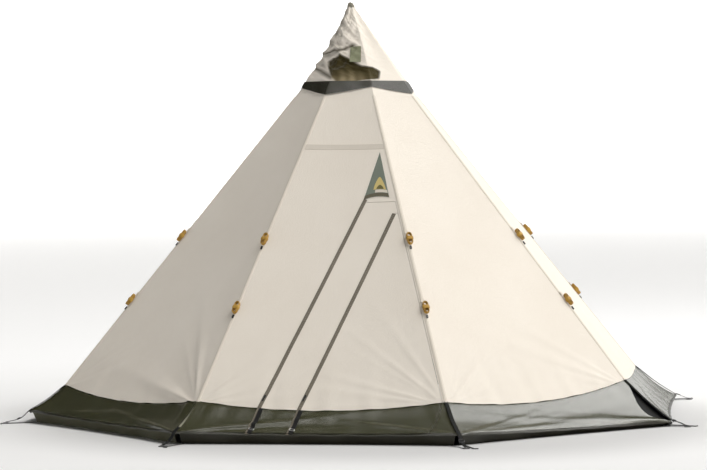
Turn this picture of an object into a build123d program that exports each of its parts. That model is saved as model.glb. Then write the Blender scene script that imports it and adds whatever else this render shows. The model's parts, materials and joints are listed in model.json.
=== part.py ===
from build123d import *
from math import cos, radians, sin
import os

# An eight-sided tipi tent on one centre pole, in millimetres, +Z up.
# The origin is on the ground under the pole. Side 0 is the entrance and faces -Y.
# Corner n stands on azimuth (n - 0.5) * 45 degrees, counted from -Y towards +X.

# Driving dimensions
SIDES = 8
HALF_SIDE = 180 / SIDES  # angle from the middle of a side to its corner
GROUND_RADIUS = 2160  # where a corner seam of the canvas would meet the ground
CONE_HEIGHT = 2590  # where the canvas seams would meet at the top
CLOTH = 1.2  # canvas, skirt and flap thickness, measured level
TAPE = 1.2  # webbing and zip tape thickness, measured level
JOIN_HEIGHT = 215  # canvas above, skirt below
CROWN_HEIGHT = 2290  # top edge of the canvas, under the vent cap
HEM_HEIGHT = 47
HEM_RADIUS = 2225  # corner radius of the skirt's hem
FLAP_RADIUS = 2132  # corner radius of the flap's foot, on the ground
FLAP_CORNER_GAP = 96  # the flap stops this far from each corner
TIP_HEIGHT = 2700
SEAM_HALF_WIDTH = 12.5
CUT = 1.0  # half of the gap between a door piece and its neighbour

# Entrance, by its two zip lines as seen from the front
HEAD_SPLIT = 1412  # lower edge of the head panel, above both zips
CROWN_SPLIT = 1757  # stitched seam between the head and crown panels
LEFT_ZIP_FOOT = -363
LEFT_ZIP_RUN = 0.4337  # sideways for each unit of height
RIGHT_ZIP_FOOT = -118
RIGHT_ZIP_RUN = 0.4192
RIGHT_ZIP_TOP = 1340
SKIRT_ZIP_RUN = 0.34
HINGE_INSET = 22  # hinge line, left of corner 1 as seen from the front
PLEAT_WIDTH = 150  # fixed skirt gusset between the leaf and corner 1, at the hem
TAPE_WIDTH = 15
NET_DEPTH = 8  # net behind the canvas, measured level

# Corners on the ground
RING_RADIUS = 2350
RING_BORE = 15
RING_RIM = 7
RING_HEIGHT = 5
PEG_RADIUS = 3.5
PEG_LENGTH = 250
PEG_INNER_END = 2140
PEG_SIDESTEP = 36

# Guy-out points on every corner seam
GUY_HEIGHTS = (1186, 777)
HANK_LENGTH = 92
HANK_WIDTH = 36
HANK_SIDESTEP = 6  # to the right of the seam, clear of the door leaf's hinge line
HANK_THICKNESS = 22
HANK_TOP = 30  # up the seam from the guy-out point

# Pole
FOOT_RADIUS = 45
LOWER_TUBE_RADIUS = 16.5
LOWER_TUBE_TOP = 1500
UPPER_TUBE_RADIUS = 19
UPPER_TUBE_BORE = 17
UPPER_TUBE_FOOT = 1180
HUB_RADIUS = 46
HUB_HEIGHT = 12
ROD_RADIUS = 5
ROD_CLEARANCE = 0.5

# Vent cap
CAP_SHOULDER_HEIGHT = 2178
CAP_SHOULDER_RADIUS = 353
CAP_TIP_RADIUS = 16
BAND_LOW = 2093
BAND_HIGH = 2145
BAND_STANDOFF = 9  # band outside the canvas, measured level
CAP_SEAM_GAP = 0.6

CORNER_ANGLE = radians(HALF_SIDE)
CANVAS_LEAN = GROUND_RADIUS / CONE_HEIGHT
SKIRT_LEAN = (HEM_RADIUS - GROUND_RADIUS * (1 - JOIN_HEIGHT / CONE_HEIGHT)) / (JOIN_HEIGHT - HEM_HEIGHT)
SIDE_NAMES = (
    "entrance",
    "front_right",
    "right",
    "rear_right",
    "rear",
    "rear_left",
    "left",
    "front_left",
)

os.makedirs("parts", exist_ok=True)


def canvas_radius(height):
    """Corner radius of the canvas at a height."""
    return GROUND_RADIUS - CANVAS_LEAN * height


def skirt_radius(height):
    """Corner radius of the skirt at a height."""
    return HEM_RADIUS - SKIRT_LEAN * (height - HEM_HEIGHT)


def seam_x(height):
    """Sideways place of corner 1 at a height, on the canvas or on the skirt."""
    radius = canvas_radius(height) if height >= JOIN_HEIGHT else skirt_radius(height)
    return radius * sin(CORNER_ANGLE)


def left_zip_x(height):
    run = LEFT_ZIP_RUN if height >= JOIN_HEIGHT else SKIRT_ZIP_RUN
    return LEFT_ZIP_FOOT + run * (height - JOIN_HEIGHT)


def right_zip_x(height):
    run = RIGHT_ZIP_RUN if height >= JOIN_HEIGHT else SKIRT_ZIP_RUN
    return RIGHT_ZIP_FOOT + run * (height - JOIN_HEIGHT)


def hinge_x(height):
    """The leaf's edge: beside corner 1 on the canvas, then away from it down the skirt."""
    if height >= JOIN_HEIGHT:
        return seam_x(height) - HINGE_INSET
    down = (JOIN_HEIGHT - height) / (JOIN_HEIGHT - HEM_HEIGHT)
    return seam_x(height) - HINGE_INSET - (PLEAT_WIDTH - HINGE_INSET) * down


def save(piece, name):
    piece.label = name
    export_step(piece, f"parts/{name}.step")


def shell(low, low_radius, high, high_radius, thickness):
    """An eight-sided skin between two heights, its thickness measured level and inward."""
    with BuildPart() as skin:
        for inset, mode in ((0, Mode.ADD), (thickness / cos(CORNER_ANGLE), Mode.SUBTRACT)):
            with BuildSketch(Plane.XY.offset(low)):
                RegularPolygon(low_radius - inset, SIDES, rotation=HALF_SIDE)
            with BuildSketch(Plane.XY.offset(high)):
                RegularPolygon(high_radius - inset, SIDES, rotation=HALF_SIDE)
            loft(ruled=True, mode=mode)
    return skin.part


def corner_plane(corner, shift=0.0):
    """The upright plane through the tent's axis and a corner; its normal runs round the tent."""
    angle = radians((corner - 0.5) * 360 / SIDES)
    normal = Vector(cos(angle), sin(angle), 0)
    return Plane(origin=normal * shift, x_dir=(0, 0, 1), z_dir=normal)


def side(skin, number, gap=0.0):
    """One side of an eight-sided skin, cut at its two corners."""
    with BuildPart() as cut_side:
        add(skin)
        split(bisect_by=corner_plane(number, gap / 2), keep=Keep.TOP)
        split(bisect_by=corner_plane(number + 1, -gap / 2), keep=Keep.BOTTOM)
    return cut_side.part


def front_cut(skin_side, *outline):
    """The part of side 0 whose front view is an outline of (x, height) points."""
    with BuildPart() as cut_piece:
        add(skin_side)
        with BuildSketch(Plane.XZ):
            with BuildLine():
                Polyline(*outline, close=True)
            make_face()
        extrude(amount=2 * GROUND_RADIUS, mode=Mode.INTERSECT)
    return cut_piece.part


def ridge_point(radius, height):
    """A point on corner 1."""
    return Vector(radius * sin(CORNER_ANGLE), -radius * cos(CORNER_ANGLE), height)


def ridge_plane(height, standoff):
    """A plane lying on corner 1 of the canvas: x across the seam, y up it, z outward."""
    up_seam = (ridge_point(canvas_radius(height + 1), height + 1) - ridge_point(canvas_radius(height), height))
    across = Vector(cos(CORNER_ANGLE), sin(CORNER_ANGLE), 0)
    outward = across.cross(up_seam.normalized())
    return Plane(
        origin=ridge_point(canvas_radius(height), height) + outward * standoff,
        x_dir=across,
        z_dir=outward,
    )


def ground_plane(radius, sidestep=0.0, height=0.0):
    """A level plane near corner 1: x outward, y round the tent."""
    along = Vector(sin(CORNER_ANGLE), -cos(CORNER_ANGLE), 0)
    across = Vector(cos(CORNER_ANGLE), sin(CORNER_ANGLE), 0)
    return Plane(
        origin=along * radius + across * sidestep + Vector(0, 0, height),
        x_dir=along,
        z_dir=(0, 0, 1),
    )


# Skins
join_radius = canvas_radius(JOIN_HEIGHT)
canvas_skin = shell(JOIN_HEIGHT, join_radius, CROWN_HEIGHT, canvas_radius(CROWN_HEIGHT), CLOTH)
skirt_skin = shell(HEM_HEIGHT, HEM_RADIUS, JOIN_HEIGHT, join_radius, CLOTH)
tape_step = TAPE / cos(CORNER_ANGLE)
canvas_tape_skin = shell(
    JOIN_HEIGHT, join_radius + tape_step, CROWN_HEIGHT, canvas_radius(CROWN_HEIGHT) + tape_step, TAPE
)
skirt_tape_skin = shell(HEM_HEIGHT, HEM_RADIUS + tape_step, JOIN_HEIGHT, join_radius + tape_step, TAPE)

# Whole sides of canvas and skirt
for number, place in enumerate(SIDE_NAMES):
    if number > 0:
        save(side(canvas_skin, number), f"canvas_{place}")
        save(side(skirt_skin, number), f"skirt_{place}")

# Entrance canvas
entrance = side(canvas_skin, 0)
wide = GROUND_RADIUS
save(
    front_cut(
        entrance,
        (-wide, CROWN_SPLIT),
        (wide, CROWN_SPLIT),
        (wide, CROWN_HEIGHT + 1),
        (-wide, CROWN_HEIGHT + 1),
    ),
    "entrance_crown_panel",
)
save(
    front_cut(entrance, (-wide, HEAD_SPLIT), (wide, HEAD_SPLIT), (wide, CROWN_SPLIT), (-wide, CROWN_SPLIT)),
    "entrance_head_panel",
)
save(
    front_cut(
        entrance,
        (-wide, JOIN_HEIGHT),
        (left_zip_x(JOIN_HEIGHT) - CUT, JOIN_HEIGHT),
        (left_zip_x(HEAD_SPLIT) - CUT, HEAD_SPLIT),
        (-wide, HEAD_SPLIT),
    ),
    "entrance_side_panel",
)
save(
    front_cut(
        entrance,
        (hinge_x(JOIN_HEIGHT), JOIN_HEIGHT),
        (wide, JOIN_HEIGHT),
        (wide, HEAD_SPLIT),
        (hinge_x(HEAD_SPLIT), HEAD_SPLIT),
    ),
    "door_hinge_border",
)
door_top = HEAD_SPLIT - 2 * CUT
save(
    front_cut(
        entrance,
        (left_zip_x(JOIN_HEIGHT) + CUT, JOIN_HEIGHT),
        (right_zip_x(JOIN_HEIGHT) - CUT, JOIN_HEIGHT),
        (right_zip_x(RIGHT_ZIP_TOP) - CUT, RIGHT_ZIP_TOP),
        (hinge_x(RIGHT_ZIP_TOP) - 2 * CUT, RIGHT_ZIP_TOP),
        (hinge_x(door_top) - 2 * CUT, door_top),
        (left_zip_x(door_top) + CUT, door_top),
    ),
    "net_door_strip",
)
leaf_top = RIGHT_ZIP_TOP - 2 * CUT
save(
    front_cut(
        entrance,
        (right_zip_x(JOIN_HEIGHT) + CUT, JOIN_HEIGHT),
        (hinge_x(JOIN_HEIGHT) - 2 * CUT, JOIN_HEIGHT),
        (hinge_x(leaf_top) - 2 * CUT, leaf_top),
        (right_zip_x(leaf_top) + CUT, leaf_top),
    ),
    "door_leaf_canvas",
)

# Mosquito net behind the leaf, hemmed to the back of the strip along the right zip
net_step = NET_DEPTH / cos(CORNER_ANGLE)
net_skin = shell(
    JOIN_HEIGHT, join_radius - net_step, CROWN_HEIGHT, canvas_radius(CROWN_HEIGHT) - net_step, CLOTH
)
net_top = RIGHT_ZIP_TOP - 40
net_inset = 30
save(
    front_cut(
        side(net_skin, 0),
        (right_zip_x(JOIN_HEIGHT) - net_inset, JOIN_HEIGHT),
        (hinge_x(JOIN_HEIGHT) - 2 * net_inset, JOIN_HEIGHT),
        (hinge_x(net_top) - net_inset, net_top),
        (right_zip_x(net_top) - net_inset, net_top),
    ),
    "mosquito_net",
)

# Entrance skirt
entrance_skirt = side(skirt_skin, 0)
save(
    front_cut(
        entrance_skirt,
        (-wide, HEM_HEIGHT),
        (left_zip_x(HEM_HEIGHT) - CUT, HEM_HEIGHT),
        (left_zip_x(JOIN_HEIGHT - 1) - CUT, JOIN_HEIGHT),
        (-wide, JOIN_HEIGHT),
    ),
    "entrance_side_skirt",
)
save(
    front_cut(
        entrance_skirt,
        (left_zip_x(HEM_HEIGHT) + CUT, HEM_HEIGHT),
        (right_zip_x(HEM_HEIGHT) - CUT, HEM_HEIGHT),
        (right_zip_x(JOIN_HEIGHT - 1) - CUT, JOIN_HEIGHT),
        (left_zip_x(JOIN_HEIGHT - 1) + CUT, JOIN_HEIGHT),
    ),
    "net_door_skirt",
)
save(
    front_cut(
        entrance_skirt,
        (right_zip_x(HEM_HEIGHT) + CUT, HEM_HEIGHT),
        (hinge_x(HEM_HEIGHT) - 2 * CUT, HEM_HEIGHT),
        (hinge_x(JOIN_HEIGHT) - 2 * CUT, JOIN_HEIGHT),
        (right_zip_x(JOIN_HEIGHT - 1) + CUT, JOIN_HEIGHT),
    ),
    "door_leaf_skirt",
)
save(
    front_cut(
        entrance_skirt,
        (hinge_x(HEM_HEIGHT), HEM_HEIGHT),
        (wide, HEM_HEIGHT),
        (wide, JOIN_HEIGHT),
        (hinge_x(JOIN_HEIGHT), JOIN_HEIGHT),
    ),
    "entrance_corner_skirt",
)

# Zip tapes, each lying on the edge of its own piece; the skirt's run is part of the same tape
canvas_tape_side = side(canvas_tape_skin, 0)
skirt_tape_side = side(skirt_tape_skin, 0)


def zip_tape(zip_x, top, near, far, name):
    """A tape beside a zip line, from near to far off it, down the canvas and on down the skirt."""
    on_canvas = front_cut(
        canvas_tape_side,
        (zip_x(JOIN_HEIGHT) + near, JOIN_HEIGHT),
        (zip_x(JOIN_HEIGHT) + far, JOIN_HEIGHT),
        (zip_x(top) + far, top),
        (zip_x(top) + near, top),
    )
    on_skirt = front_cut(
        skirt_tape_side,
        (zip_x(HEM_HEIGHT) + near, HEM_HEIGHT),
        (zip_x(HEM_HEIGHT) + far, HEM_HEIGHT),
        (zip_x(JOIN_HEIGHT - 1) + far, JOIN_HEIGHT),
        (zip_x(JOIN_HEIGHT - 1) + near, JOIN_HEIGHT),
    )
    with BuildPart() as tape:
        add(on_canvas)
        add(on_skirt)
    save(tape.part, name)


zip_tape(left_zip_x, door_top - 2 * CUT, -TAPE_WIDTH, -CUT, "left_zip_outer_tape")
zip_tape(left_zip_x, door_top - 2 * CUT, CUT, TAPE_WIDTH, "left_zip_inner_tape")
zip_tape(right_zip_x, leaf_top - 2 * CUT, -TAPE_WIDTH, -CUT, "right_zip_inner_tape")
zip_tape(right_zip_x, leaf_top - 2 * CUT, CUT, TAPE_WIDTH, "right_zip_outer_tape")

# Zip sliders with their pulls, parked just above the join, where the zips are closed
SLIDER_LENGTH = 18
SLIDER_WIDTH = 12
SLIDER_THICKNESS = 5
SLIDER_STANDOFF = 2.2  # clear of the tapes
PULL_LENGTH = 46
PULL_WIDTH = 9
PULL_THICKNESS = 2
apothem_lean = CANVAS_LEAN * cos(CORNER_ANGLE)


def zip_plane(zip_x, run, height, standoff):
    """A plane on side 0: y up the zip, z outward."""
    outward = Vector(0, -1, apothem_lean).normalized()
    up_zip = Vector(run, apothem_lean, 1).normalized()
    foot = Vector(zip_x(height), -canvas_radius(height) * cos(CORNER_ANGLE), height)
    return Plane(origin=foot + outward * standoff, x_dir=up_zip.cross(outward), z_dir=outward)


def zip_slider(zip_x, run, height, name):
    with BuildPart() as slider:
        with BuildSketch(zip_plane(zip_x, run, height, SLIDER_STANDOFF)):
            RectangleRounded(SLIDER_WIDTH, SLIDER_LENGTH, 3)
        extrude(amount=SLIDER_THICKNESS)
    save(slider.part, f"{name}_slider")
    with BuildPart() as pull:
        with BuildSketch(zip_plane(zip_x, run, height, SLIDER_STANDOFF + SLIDER_THICKNESS)):
            with Locations((0, -PULL_LENGTH / 2 + PULL_WIDTH)):
                RectangleRounded(PULL_WIDTH, PULL_LENGTH, 3)
        extrude(amount=PULL_THICKNESS)
    save(pull.part, f"{name}_pull")


SLIDER_HEIGHT = JOIN_HEIGHT + 47
zip_slider(left_zip_x, LEFT_ZIP_RUN, SLIDER_HEIGHT, "left_zip")
zip_slider(right_zip_x, RIGHT_ZIP_RUN, SLIDER_HEIGHT, "right_zip")

# Triangular patch over the head of the left zip
save(
    front_cut(canvas_tape_side, (157, 1436), (313, 1467), (231, 1724)),
    "door_head_patch",
)

# Webbing over the eight seams, from the vent cap's band down to the join
WEBBING_TOP = 2085
with BuildPart() as seam_piece:
    add(canvas_tape_skin)
    split(bisect_by=corner_plane(1, -SEAM_HALF_WIDTH), keep=Keep.TOP)
    split(bisect_by=corner_plane(1, SEAM_HALF_WIDTH), keep=Keep.BOTTOM)
    split(bisect_by=Plane.XZ, keep=Keep.TOP)
    split(bisect_by=Plane.XY.offset(WEBBING_TOP), keep=Keep.BOTTOM)
with BuildPart() as seam_webbing:
    with PolarLocations(0, SIDES):
        add(seam_piece.part)
save(seam_webbing.part, "seam_webbing")

# Ground flap: eight slanting strips from behind the hem to the ground, open at the corners
flap_top = HEM_HEIGHT - 3
flap_skin = shell(0, FLAP_RADIUS, flap_top, skirt_radius(HEM_HEIGHT) - 8, CLOTH)
with BuildPart() as flap_piece:
    add(flap_skin)
    split(bisect_by=corner_plane(0, FLAP_CORNER_GAP), keep=Keep.TOP)
    split(bisect_by=corner_plane(1, -FLAP_CORNER_GAP), keep=Keep.BOTTOM)
with BuildPart() as ground_flaps:
    with PolarLocations(0, SIDES):
        add(flap_piece.part)
save(ground_flaps.part, "ground_flaps")

# Guy-out tabs, hanked guy lines and line runners, two of each on every seam
TAB_WIDTH = 22
TAB_LENGTH = 26
TAB_THICKNESS = 2.5
TAB_OFFSET = 45  # up the seam from the guy-out point
ON_WEBBING = 3.0  # standoff that clears the folded webbing
RUNNER_LENGTH = 24
RUNNER_WIDTH = 11
RUNNER_THICKNESS = 6


def on_every_seam(name, length, width, thickness, sidestep, offset):
    """Rounded blocks on all the guy-out points; offset is up the seam from the point."""
    blocks = []
    for height in GUY_HEIGHTS:
        with BuildPart() as block:
            with BuildSketch(ridge_plane(height, ON_WEBBING)):
                with Locations((sidestep, offset)):
                    RectangleRounded(width, length, min(width, length) * 0.3)
            extrude(amount=thickness)
        blocks.append(block.part)
    with BuildPart() as group:
        with PolarLocations(0, SIDES):
            for block in blocks:
                add(block)
    save(group.part, name)


hank_centre = HANK_TOP - HANK_LENGTH / 2
on_every_seam("guy_out_tabs", TAB_LENGTH, TAB_WIDTH, TAB_THICKNESS, 0, TAB_OFFSET)
on_every_seam("guy_line_hanks", HANK_LENGTH, HANK_WIDTH, HANK_THICKNESS, HANK_SIDESTEP, hank_centre)
on_every_seam(
    "line_runners",
    RUNNER_LENGTH,
    RUNNER_WIDTH,
    RUNNER_THICKNESS,
    HANK_SIDESTEP,
    hank_centre - HANK_LENGTH / 2 - RUNNER_LENGTH / 2 - 1,
)

# Peg rings, flat on the ground
with BuildPart() as ring_piece:
    with BuildSketch(ground_plane(RING_RADIUS)):
        Circle(RING_BORE + RING_RIM)
        Circle(RING_BORE, mode=Mode.SUBTRACT)
    extrude(amount=RING_HEIGHT)
with BuildPart() as peg_rings:
    with PolarLocations(0, SIDES):
        add(ring_piece.part)
save(peg_rings.part, "peg_rings")

# Corner straps from the hem to the rings, with their buckles
STRAP_WIDTH = 24
STRAP_THICKNESS = 2
STRAP_TOP_GAP = 6
strap_top = ridge_point(HEM_RADIUS + STRAP_TOP_GAP, HEM_HEIGHT - 2)
strap_foot = ridge_point(RING_RADIUS - RING_BORE - RING_RIM - 1, 2)
strap_run = strap_foot - strap_top
strap_across = Vector(cos(CORNER_ANGLE), sin(CORNER_ANGLE), 0)
strap_plane = Plane(origin=strap_top, x_dir=strap_run, z_dir=strap_run.cross(strap_across) * -1)
BUCKLE_LENGTH = 22
BUCKLE_WIDTH = 32
BUCKLE_THICKNESS = 5
with BuildPart() as strap_piece:
    with BuildSketch(strap_plane):
        Rectangle(strap_run.length, STRAP_WIDTH, align=(Align.MIN, Align.CENTER))
    extrude(amount=STRAP_THICKNESS)
with BuildPart() as corner_straps:
    with PolarLocations(0, SIDES):
        add(strap_piece.part)
save(corner_straps.part, "corner_straps")
with BuildPart() as buckle_piece:
    with BuildSketch(strap_plane.offset(STRAP_THICKNESS + 0.2)):
        with Locations((strap_run.length * 0.4, 0)):
            RectangleRounded(BUCKLE_LENGTH, BUCKLE_WIDTH, 3)
    extrude(amount=BUCKLE_THICKNESS)
with BuildPart() as strap_buckles:
    with PolarLocations(0, SIDES):
        add(buckle_piece.part)
save(strap_buckles.part, "strap_buckles")

# Pegs, laid flat beside the rings with their points under the hem
PEG_POINT = 30
PEG_HOOK = 26
with BuildPart() as peg_piece:
    shank = ground_plane(PEG_INNER_END + PEG_POINT, PEG_SIDESTEP, PEG_RADIUS)
    shank_plane = Plane(origin=shank.origin, x_dir=(0, 0, 1), z_dir=shank.x_dir)
    with BuildSketch(shank_plane):
        Circle(PEG_RADIUS)
    extrude(amount=PEG_LENGTH - PEG_POINT)
    with BuildSketch(shank_plane):
        Circle(PEG_RADIUS)
    with BuildSketch(shank_plane.offset(-PEG_POINT)):
        Circle(PEG_RADIUS / 4)
    loft()
    head = ground_plane(PEG_INNER_END + PEG_LENGTH, PEG_SIDESTEP, PEG_RADIUS)
    with BuildSketch(Plane(origin=head.origin, x_dir=(0, 0, 1), z_dir=head.y_dir)):
        Circle(PEG_RADIUS)
    extrude(amount=PEG_HOOK)
with BuildPart() as pegs:
    with PolarLocations(0, SIDES):
        add(peg_piece.part)
save(pegs.part, "pegs")

# Centre pole, standing on a broad foot
FOOT_THICKNESS = 14
with BuildPart() as pole_foot:
    with BuildSketch():
        Circle(FOOT_RADIUS)
    extrude(amount=FOOT_THICKNESS)
    chamfer(pole_foot.edges().group_by(Axis.Z)[-1], 6)
save(pole_foot.part, "pole_foot")
with BuildPart() as lower_tube:
    with BuildSketch(Plane.XY.offset(FOOT_THICKNESS)):
        Circle(LOWER_TUBE_RADIUS)
        Circle(LOWER_TUBE_RADIUS - 1.5, mode=Mode.SUBTRACT)
    extrude(amount=LOWER_TUBE_TOP - FOOT_THICKNESS)
save(lower_tube.part, "pole_lower_tube")
with BuildPart() as upper_tube:
    with BuildSketch(Plane.XY.offset(UPPER_TUBE_FOOT)):
        Circle(UPPER_TUBE_RADIUS)
        Circle(UPPER_TUBE_BORE, mode=Mode.SUBTRACT)
    extrude(amount=CROWN_HEIGHT - HUB_HEIGHT - UPPER_TUBE_FOOT)
save(upper_tube.part, "pole_upper_tube")

# Clamp collar round the foot of the upper tube, with ears for the lever's pin
COLLAR_HEIGHT = 44
COLLAR_WALL = 6
EAR_REACH = 38
EAR_WIDTH = 14
EAR_THICKNESS = 8
PIN_RADIUS = 3
with BuildPart() as clamp_collar:
    with BuildSketch(Plane.XY.offset(UPPER_TUBE_FOOT)):
        Circle(UPPER_TUBE_RADIUS + COLLAR_WALL)
        Circle(UPPER_TUBE_RADIUS, mode=Mode.SUBTRACT)
    extrude(amount=COLLAR_HEIGHT)
    for level in (0, COLLAR_HEIGHT - EAR_THICKNESS):
        with BuildSketch(Plane.XY.offset(UPPER_TUBE_FOOT + level)):
            with BuildLine():
                Polyline(
                    (UPPER_TUBE_RADIUS + 3, -EAR_WIDTH / 2),
                    (EAR_REACH, -EAR_WIDTH / 2),
                    (EAR_REACH, EAR_WIDTH / 2),
                    (UPPER_TUBE_RADIUS + 3, EAR_WIDTH / 2),
                    close=True,
                )
            make_face()
            with Locations((EAR_REACH - EAR_WIDTH / 2, 0)):
                Circle(PIN_RADIUS, mode=Mode.SUBTRACT)
        extrude(amount=EAR_THICKNESS)
save(clamp_collar.part, "pole_clamp_collar")
pin_x = EAR_REACH - EAR_WIDTH / 2
with BuildPart() as lever_pin:
    with BuildSketch(Plane.XY.offset(UPPER_TUBE_FOOT)):
        with Locations((pin_x, 0)):
            Circle(PIN_RADIUS)
    extrude(amount=COLLAR_HEIGHT)
save(lever_pin.part, "clamp_lever_pin")
LEVER_LENGTH = 62
LEVER_THICKNESS = 9
lever_height = COLLAR_HEIGHT - 2 * EAR_THICKNESS - 2
with BuildPart() as clamp_lever:
    with BuildSketch(Plane.XY.offset(UPPER_TUBE_FOOT + EAR_THICKNESS + 1)):
        with Locations((pin_x, 0)):
            Circle(LEVER_THICKNESS / 2 + 1.5)
        with Locations((pin_x, LEVER_LENGTH / 2)):
            Rectangle(LEVER_THICKNESS, LEVER_LENGTH)
        with Locations((pin_x, 0)):
            Circle(PIN_RADIUS + 0.05, mode=Mode.SUBTRACT)
    extrude(amount=lever_height)
save(clamp_lever.part, "pole_clamp_lever")

# Crown hub on the pole's head, crown ring at the canvas's top edge, and the straps between them
with BuildPart() as crown_hub:
    with BuildSketch(Plane.XY.offset(CROWN_HEIGHT - HUB_HEIGHT)):
        Circle(HUB_RADIUS)
        Circle(ROD_RADIUS + ROD_CLEARANCE, mode=Mode.SUBTRACT)
    extrude(amount=HUB_HEIGHT)
save(crown_hub.part, "crown_hub")
RING_WEB_HEIGHT = 24
ring_web_foot = CROWN_HEIGHT - RING_WEB_HEIGHT
under_cloth = CLOTH / cos(CORNER_ANGLE)
crown_ring_skin = shell(
    ring_web_foot,
    canvas_radius(ring_web_foot) - under_cloth,
    CROWN_HEIGHT,
    canvas_radius(CROWN_HEIGHT) - under_cloth,
    2,
)
with BuildPart() as crown_ring:
    with PolarLocations(0, SIDES):
        add(side(crown_ring_skin, 0, CAP_SEAM_GAP))
save(crown_ring.part, "crown_ring")
crown_strap_length = canvas_radius(CROWN_HEIGHT) * cos(CORNER_ANGLE) - HUB_RADIUS - 4
with BuildPart() as crown_straps:
    with BuildSketch(Plane.XY.offset(CROWN_HEIGHT - HUB_HEIGHT + 2)):
        with PolarLocations(0, SIDES):
            with Locations((HUB_RADIUS + 0.5 + crown_strap_length / 2, 0)):
                Rectangle(crown_strap_length, 20)
    extrude(amount=2)
save(crown_straps.part, "crown_straps")

# Vent cap: eight facets, a zigzag hem band, a patch, the tip cup and the rod
cap_facet_skin = shell(CAP_SHOULDER_HEIGHT, CAP_SHOULDER_RADIUS, TIP_HEIGHT - 8, CAP_TIP_RADIUS, 2)
with BuildPart() as cap_facets:
    with PolarLocations(0, SIDES):
        add(side(cap_facet_skin, 0, CAP_SEAM_GAP))
save(cap_facets.part, "vent_cap_facets")
band_step = BAND_STANDOFF / cos(CORNER_ANGLE)
band_skin = shell(
    BAND_LOW,
    canvas_radius(BAND_LOW) + band_step,
    CAP_SHOULDER_HEIGHT - 0.5,
    CAP_SHOULDER_RADIUS,
    2,
)
band_side = side(band_skin, 0, CAP_SEAM_GAP)
low_x = (canvas_radius(BAND_LOW) + band_step) * sin(CORNER_ANGLE)
band_even = front_cut(
    band_side,
    (-low_x, BAND_LOW),
    (low_x, BAND_HIGH),
    (low_x, CAP_SHOULDER_HEIGHT),
    (-low_x, CAP_SHOULDER_HEIGHT),
)
band_odd = mirror(band_even, about=Plane.YZ).rotate(Axis.Z, 360 / SIDES)
with BuildPart() as cap_band:
    with PolarLocations(0, SIDES // 2):
        add(band_even)
        add(band_odd)
save(cap_band.part, "vent_cap_hem_band")
patch_lift = 3
cap_patch_skin = shell(
    CAP_SHOULDER_HEIGHT,
    CAP_SHOULDER_RADIUS + patch_lift,
    TIP_HEIGHT - 8,
    CAP_TIP_RADIUS + patch_lift,
    TAPE,
)
save(
    front_cut(side(cap_patch_skin, 0), (10, 2350), (70, 2350), (58, 2440), (10, 2440)),
    "vent_cap_patch",
)
TIP_CUP_HEIGHT = 26
with BuildPart() as tip_cup:
    with BuildSketch(Plane.XY.offset(TIP_HEIGHT - TIP_CUP_HEIGHT)):
        Circle(11)
    with BuildSketch(Plane.XY.offset(TIP_HEIGHT)):
        Circle(7)
    loft()
save(tip_cup.part, "vent_cap_tip_cup")
with BuildPart() as cap_rod:
    with BuildSketch(Plane.XY.offset(CROWN_HEIGHT - 300)):
        Circle(ROD_RADIUS)
    extrude(amount=TIP_HEIGHT - TIP_CUP_HEIGHT - CROWN_HEIGHT + 300)
save(cap_rod.part, "vent_cap_rod")
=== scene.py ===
# %% [markdown]
# A tipi tent, dressed in cloth. The CAD frame holds the pole, rings, pegs and every joint; this file
# makes what is soft: tensioned canvas, the olive skirt, the crumpled vent cap, webbing and guy lines.
# The frame is loaded first.

# %% Load the frame
import json
import math
import bpy
import numpy as np
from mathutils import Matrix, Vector


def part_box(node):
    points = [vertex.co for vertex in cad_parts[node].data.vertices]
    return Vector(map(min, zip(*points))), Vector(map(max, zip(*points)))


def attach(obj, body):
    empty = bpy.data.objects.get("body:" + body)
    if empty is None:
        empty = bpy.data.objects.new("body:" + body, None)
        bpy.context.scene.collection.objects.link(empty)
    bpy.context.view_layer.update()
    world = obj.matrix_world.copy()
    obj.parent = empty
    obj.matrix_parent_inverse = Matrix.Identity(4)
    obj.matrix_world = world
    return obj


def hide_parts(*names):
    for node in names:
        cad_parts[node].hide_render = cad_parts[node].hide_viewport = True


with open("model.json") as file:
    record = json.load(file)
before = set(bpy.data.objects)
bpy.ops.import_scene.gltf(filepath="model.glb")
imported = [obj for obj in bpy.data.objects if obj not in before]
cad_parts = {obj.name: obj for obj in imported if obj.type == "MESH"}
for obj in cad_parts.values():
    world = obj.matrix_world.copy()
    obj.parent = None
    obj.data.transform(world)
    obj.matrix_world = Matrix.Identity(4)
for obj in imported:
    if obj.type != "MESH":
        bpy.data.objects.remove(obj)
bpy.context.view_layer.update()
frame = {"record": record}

# %% [markdown]
# Everything hangs on one cone with eight sides. Rather than typing the tent's sizes again, they are
# read from the boxes of the CAD nodes: the rear side faces +Y, so its box gives the cone's two
# apothems directly, and the joints in the record give the two zip lines and the door's hinge line.

# %% Sizes from the frame
SIDES = 8
HALF = math.pi / SIDES
CLOTH = 0.0012
SEAM_HALF = 0.0115
SLIDER_STANDOFF = 0.0047  # the middle of a zip slider stands this far off the canvas
rear_low, rear_high = (np.array(corner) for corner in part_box("canvas_rear"))
hem_low, hem_high = (np.array(corner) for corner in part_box("skirt_rear"))
join_z, crown_z = rear_low[2], rear_high[2]
join_apothem, crown_apothem = rear_high[1], rear_low[1] + CLOTH
lean = (join_apothem - crown_apothem) / (crown_z - join_z)
hem_z, hem_apothem = hem_low[2], hem_high[1]
joints = {joint["name"]: joint for joint in frame["record"]["behaviour"]["joints"]}
OUT_Z = lean / math.hypot(1, lean)
OUT_LEVEL = 1 / math.hypot(1, lean)


def apothem(z):
    """Distance from the pole to the middle of a canvas side at height z: a straight line in z."""
    return join_apothem + lean * (join_z - z)


def side_width(z):
    """Width of a canvas side at height z: twice the apothem times the tangent of half a side's angle."""
    return 2 * apothem(z) * math.tan(HALF)


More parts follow.
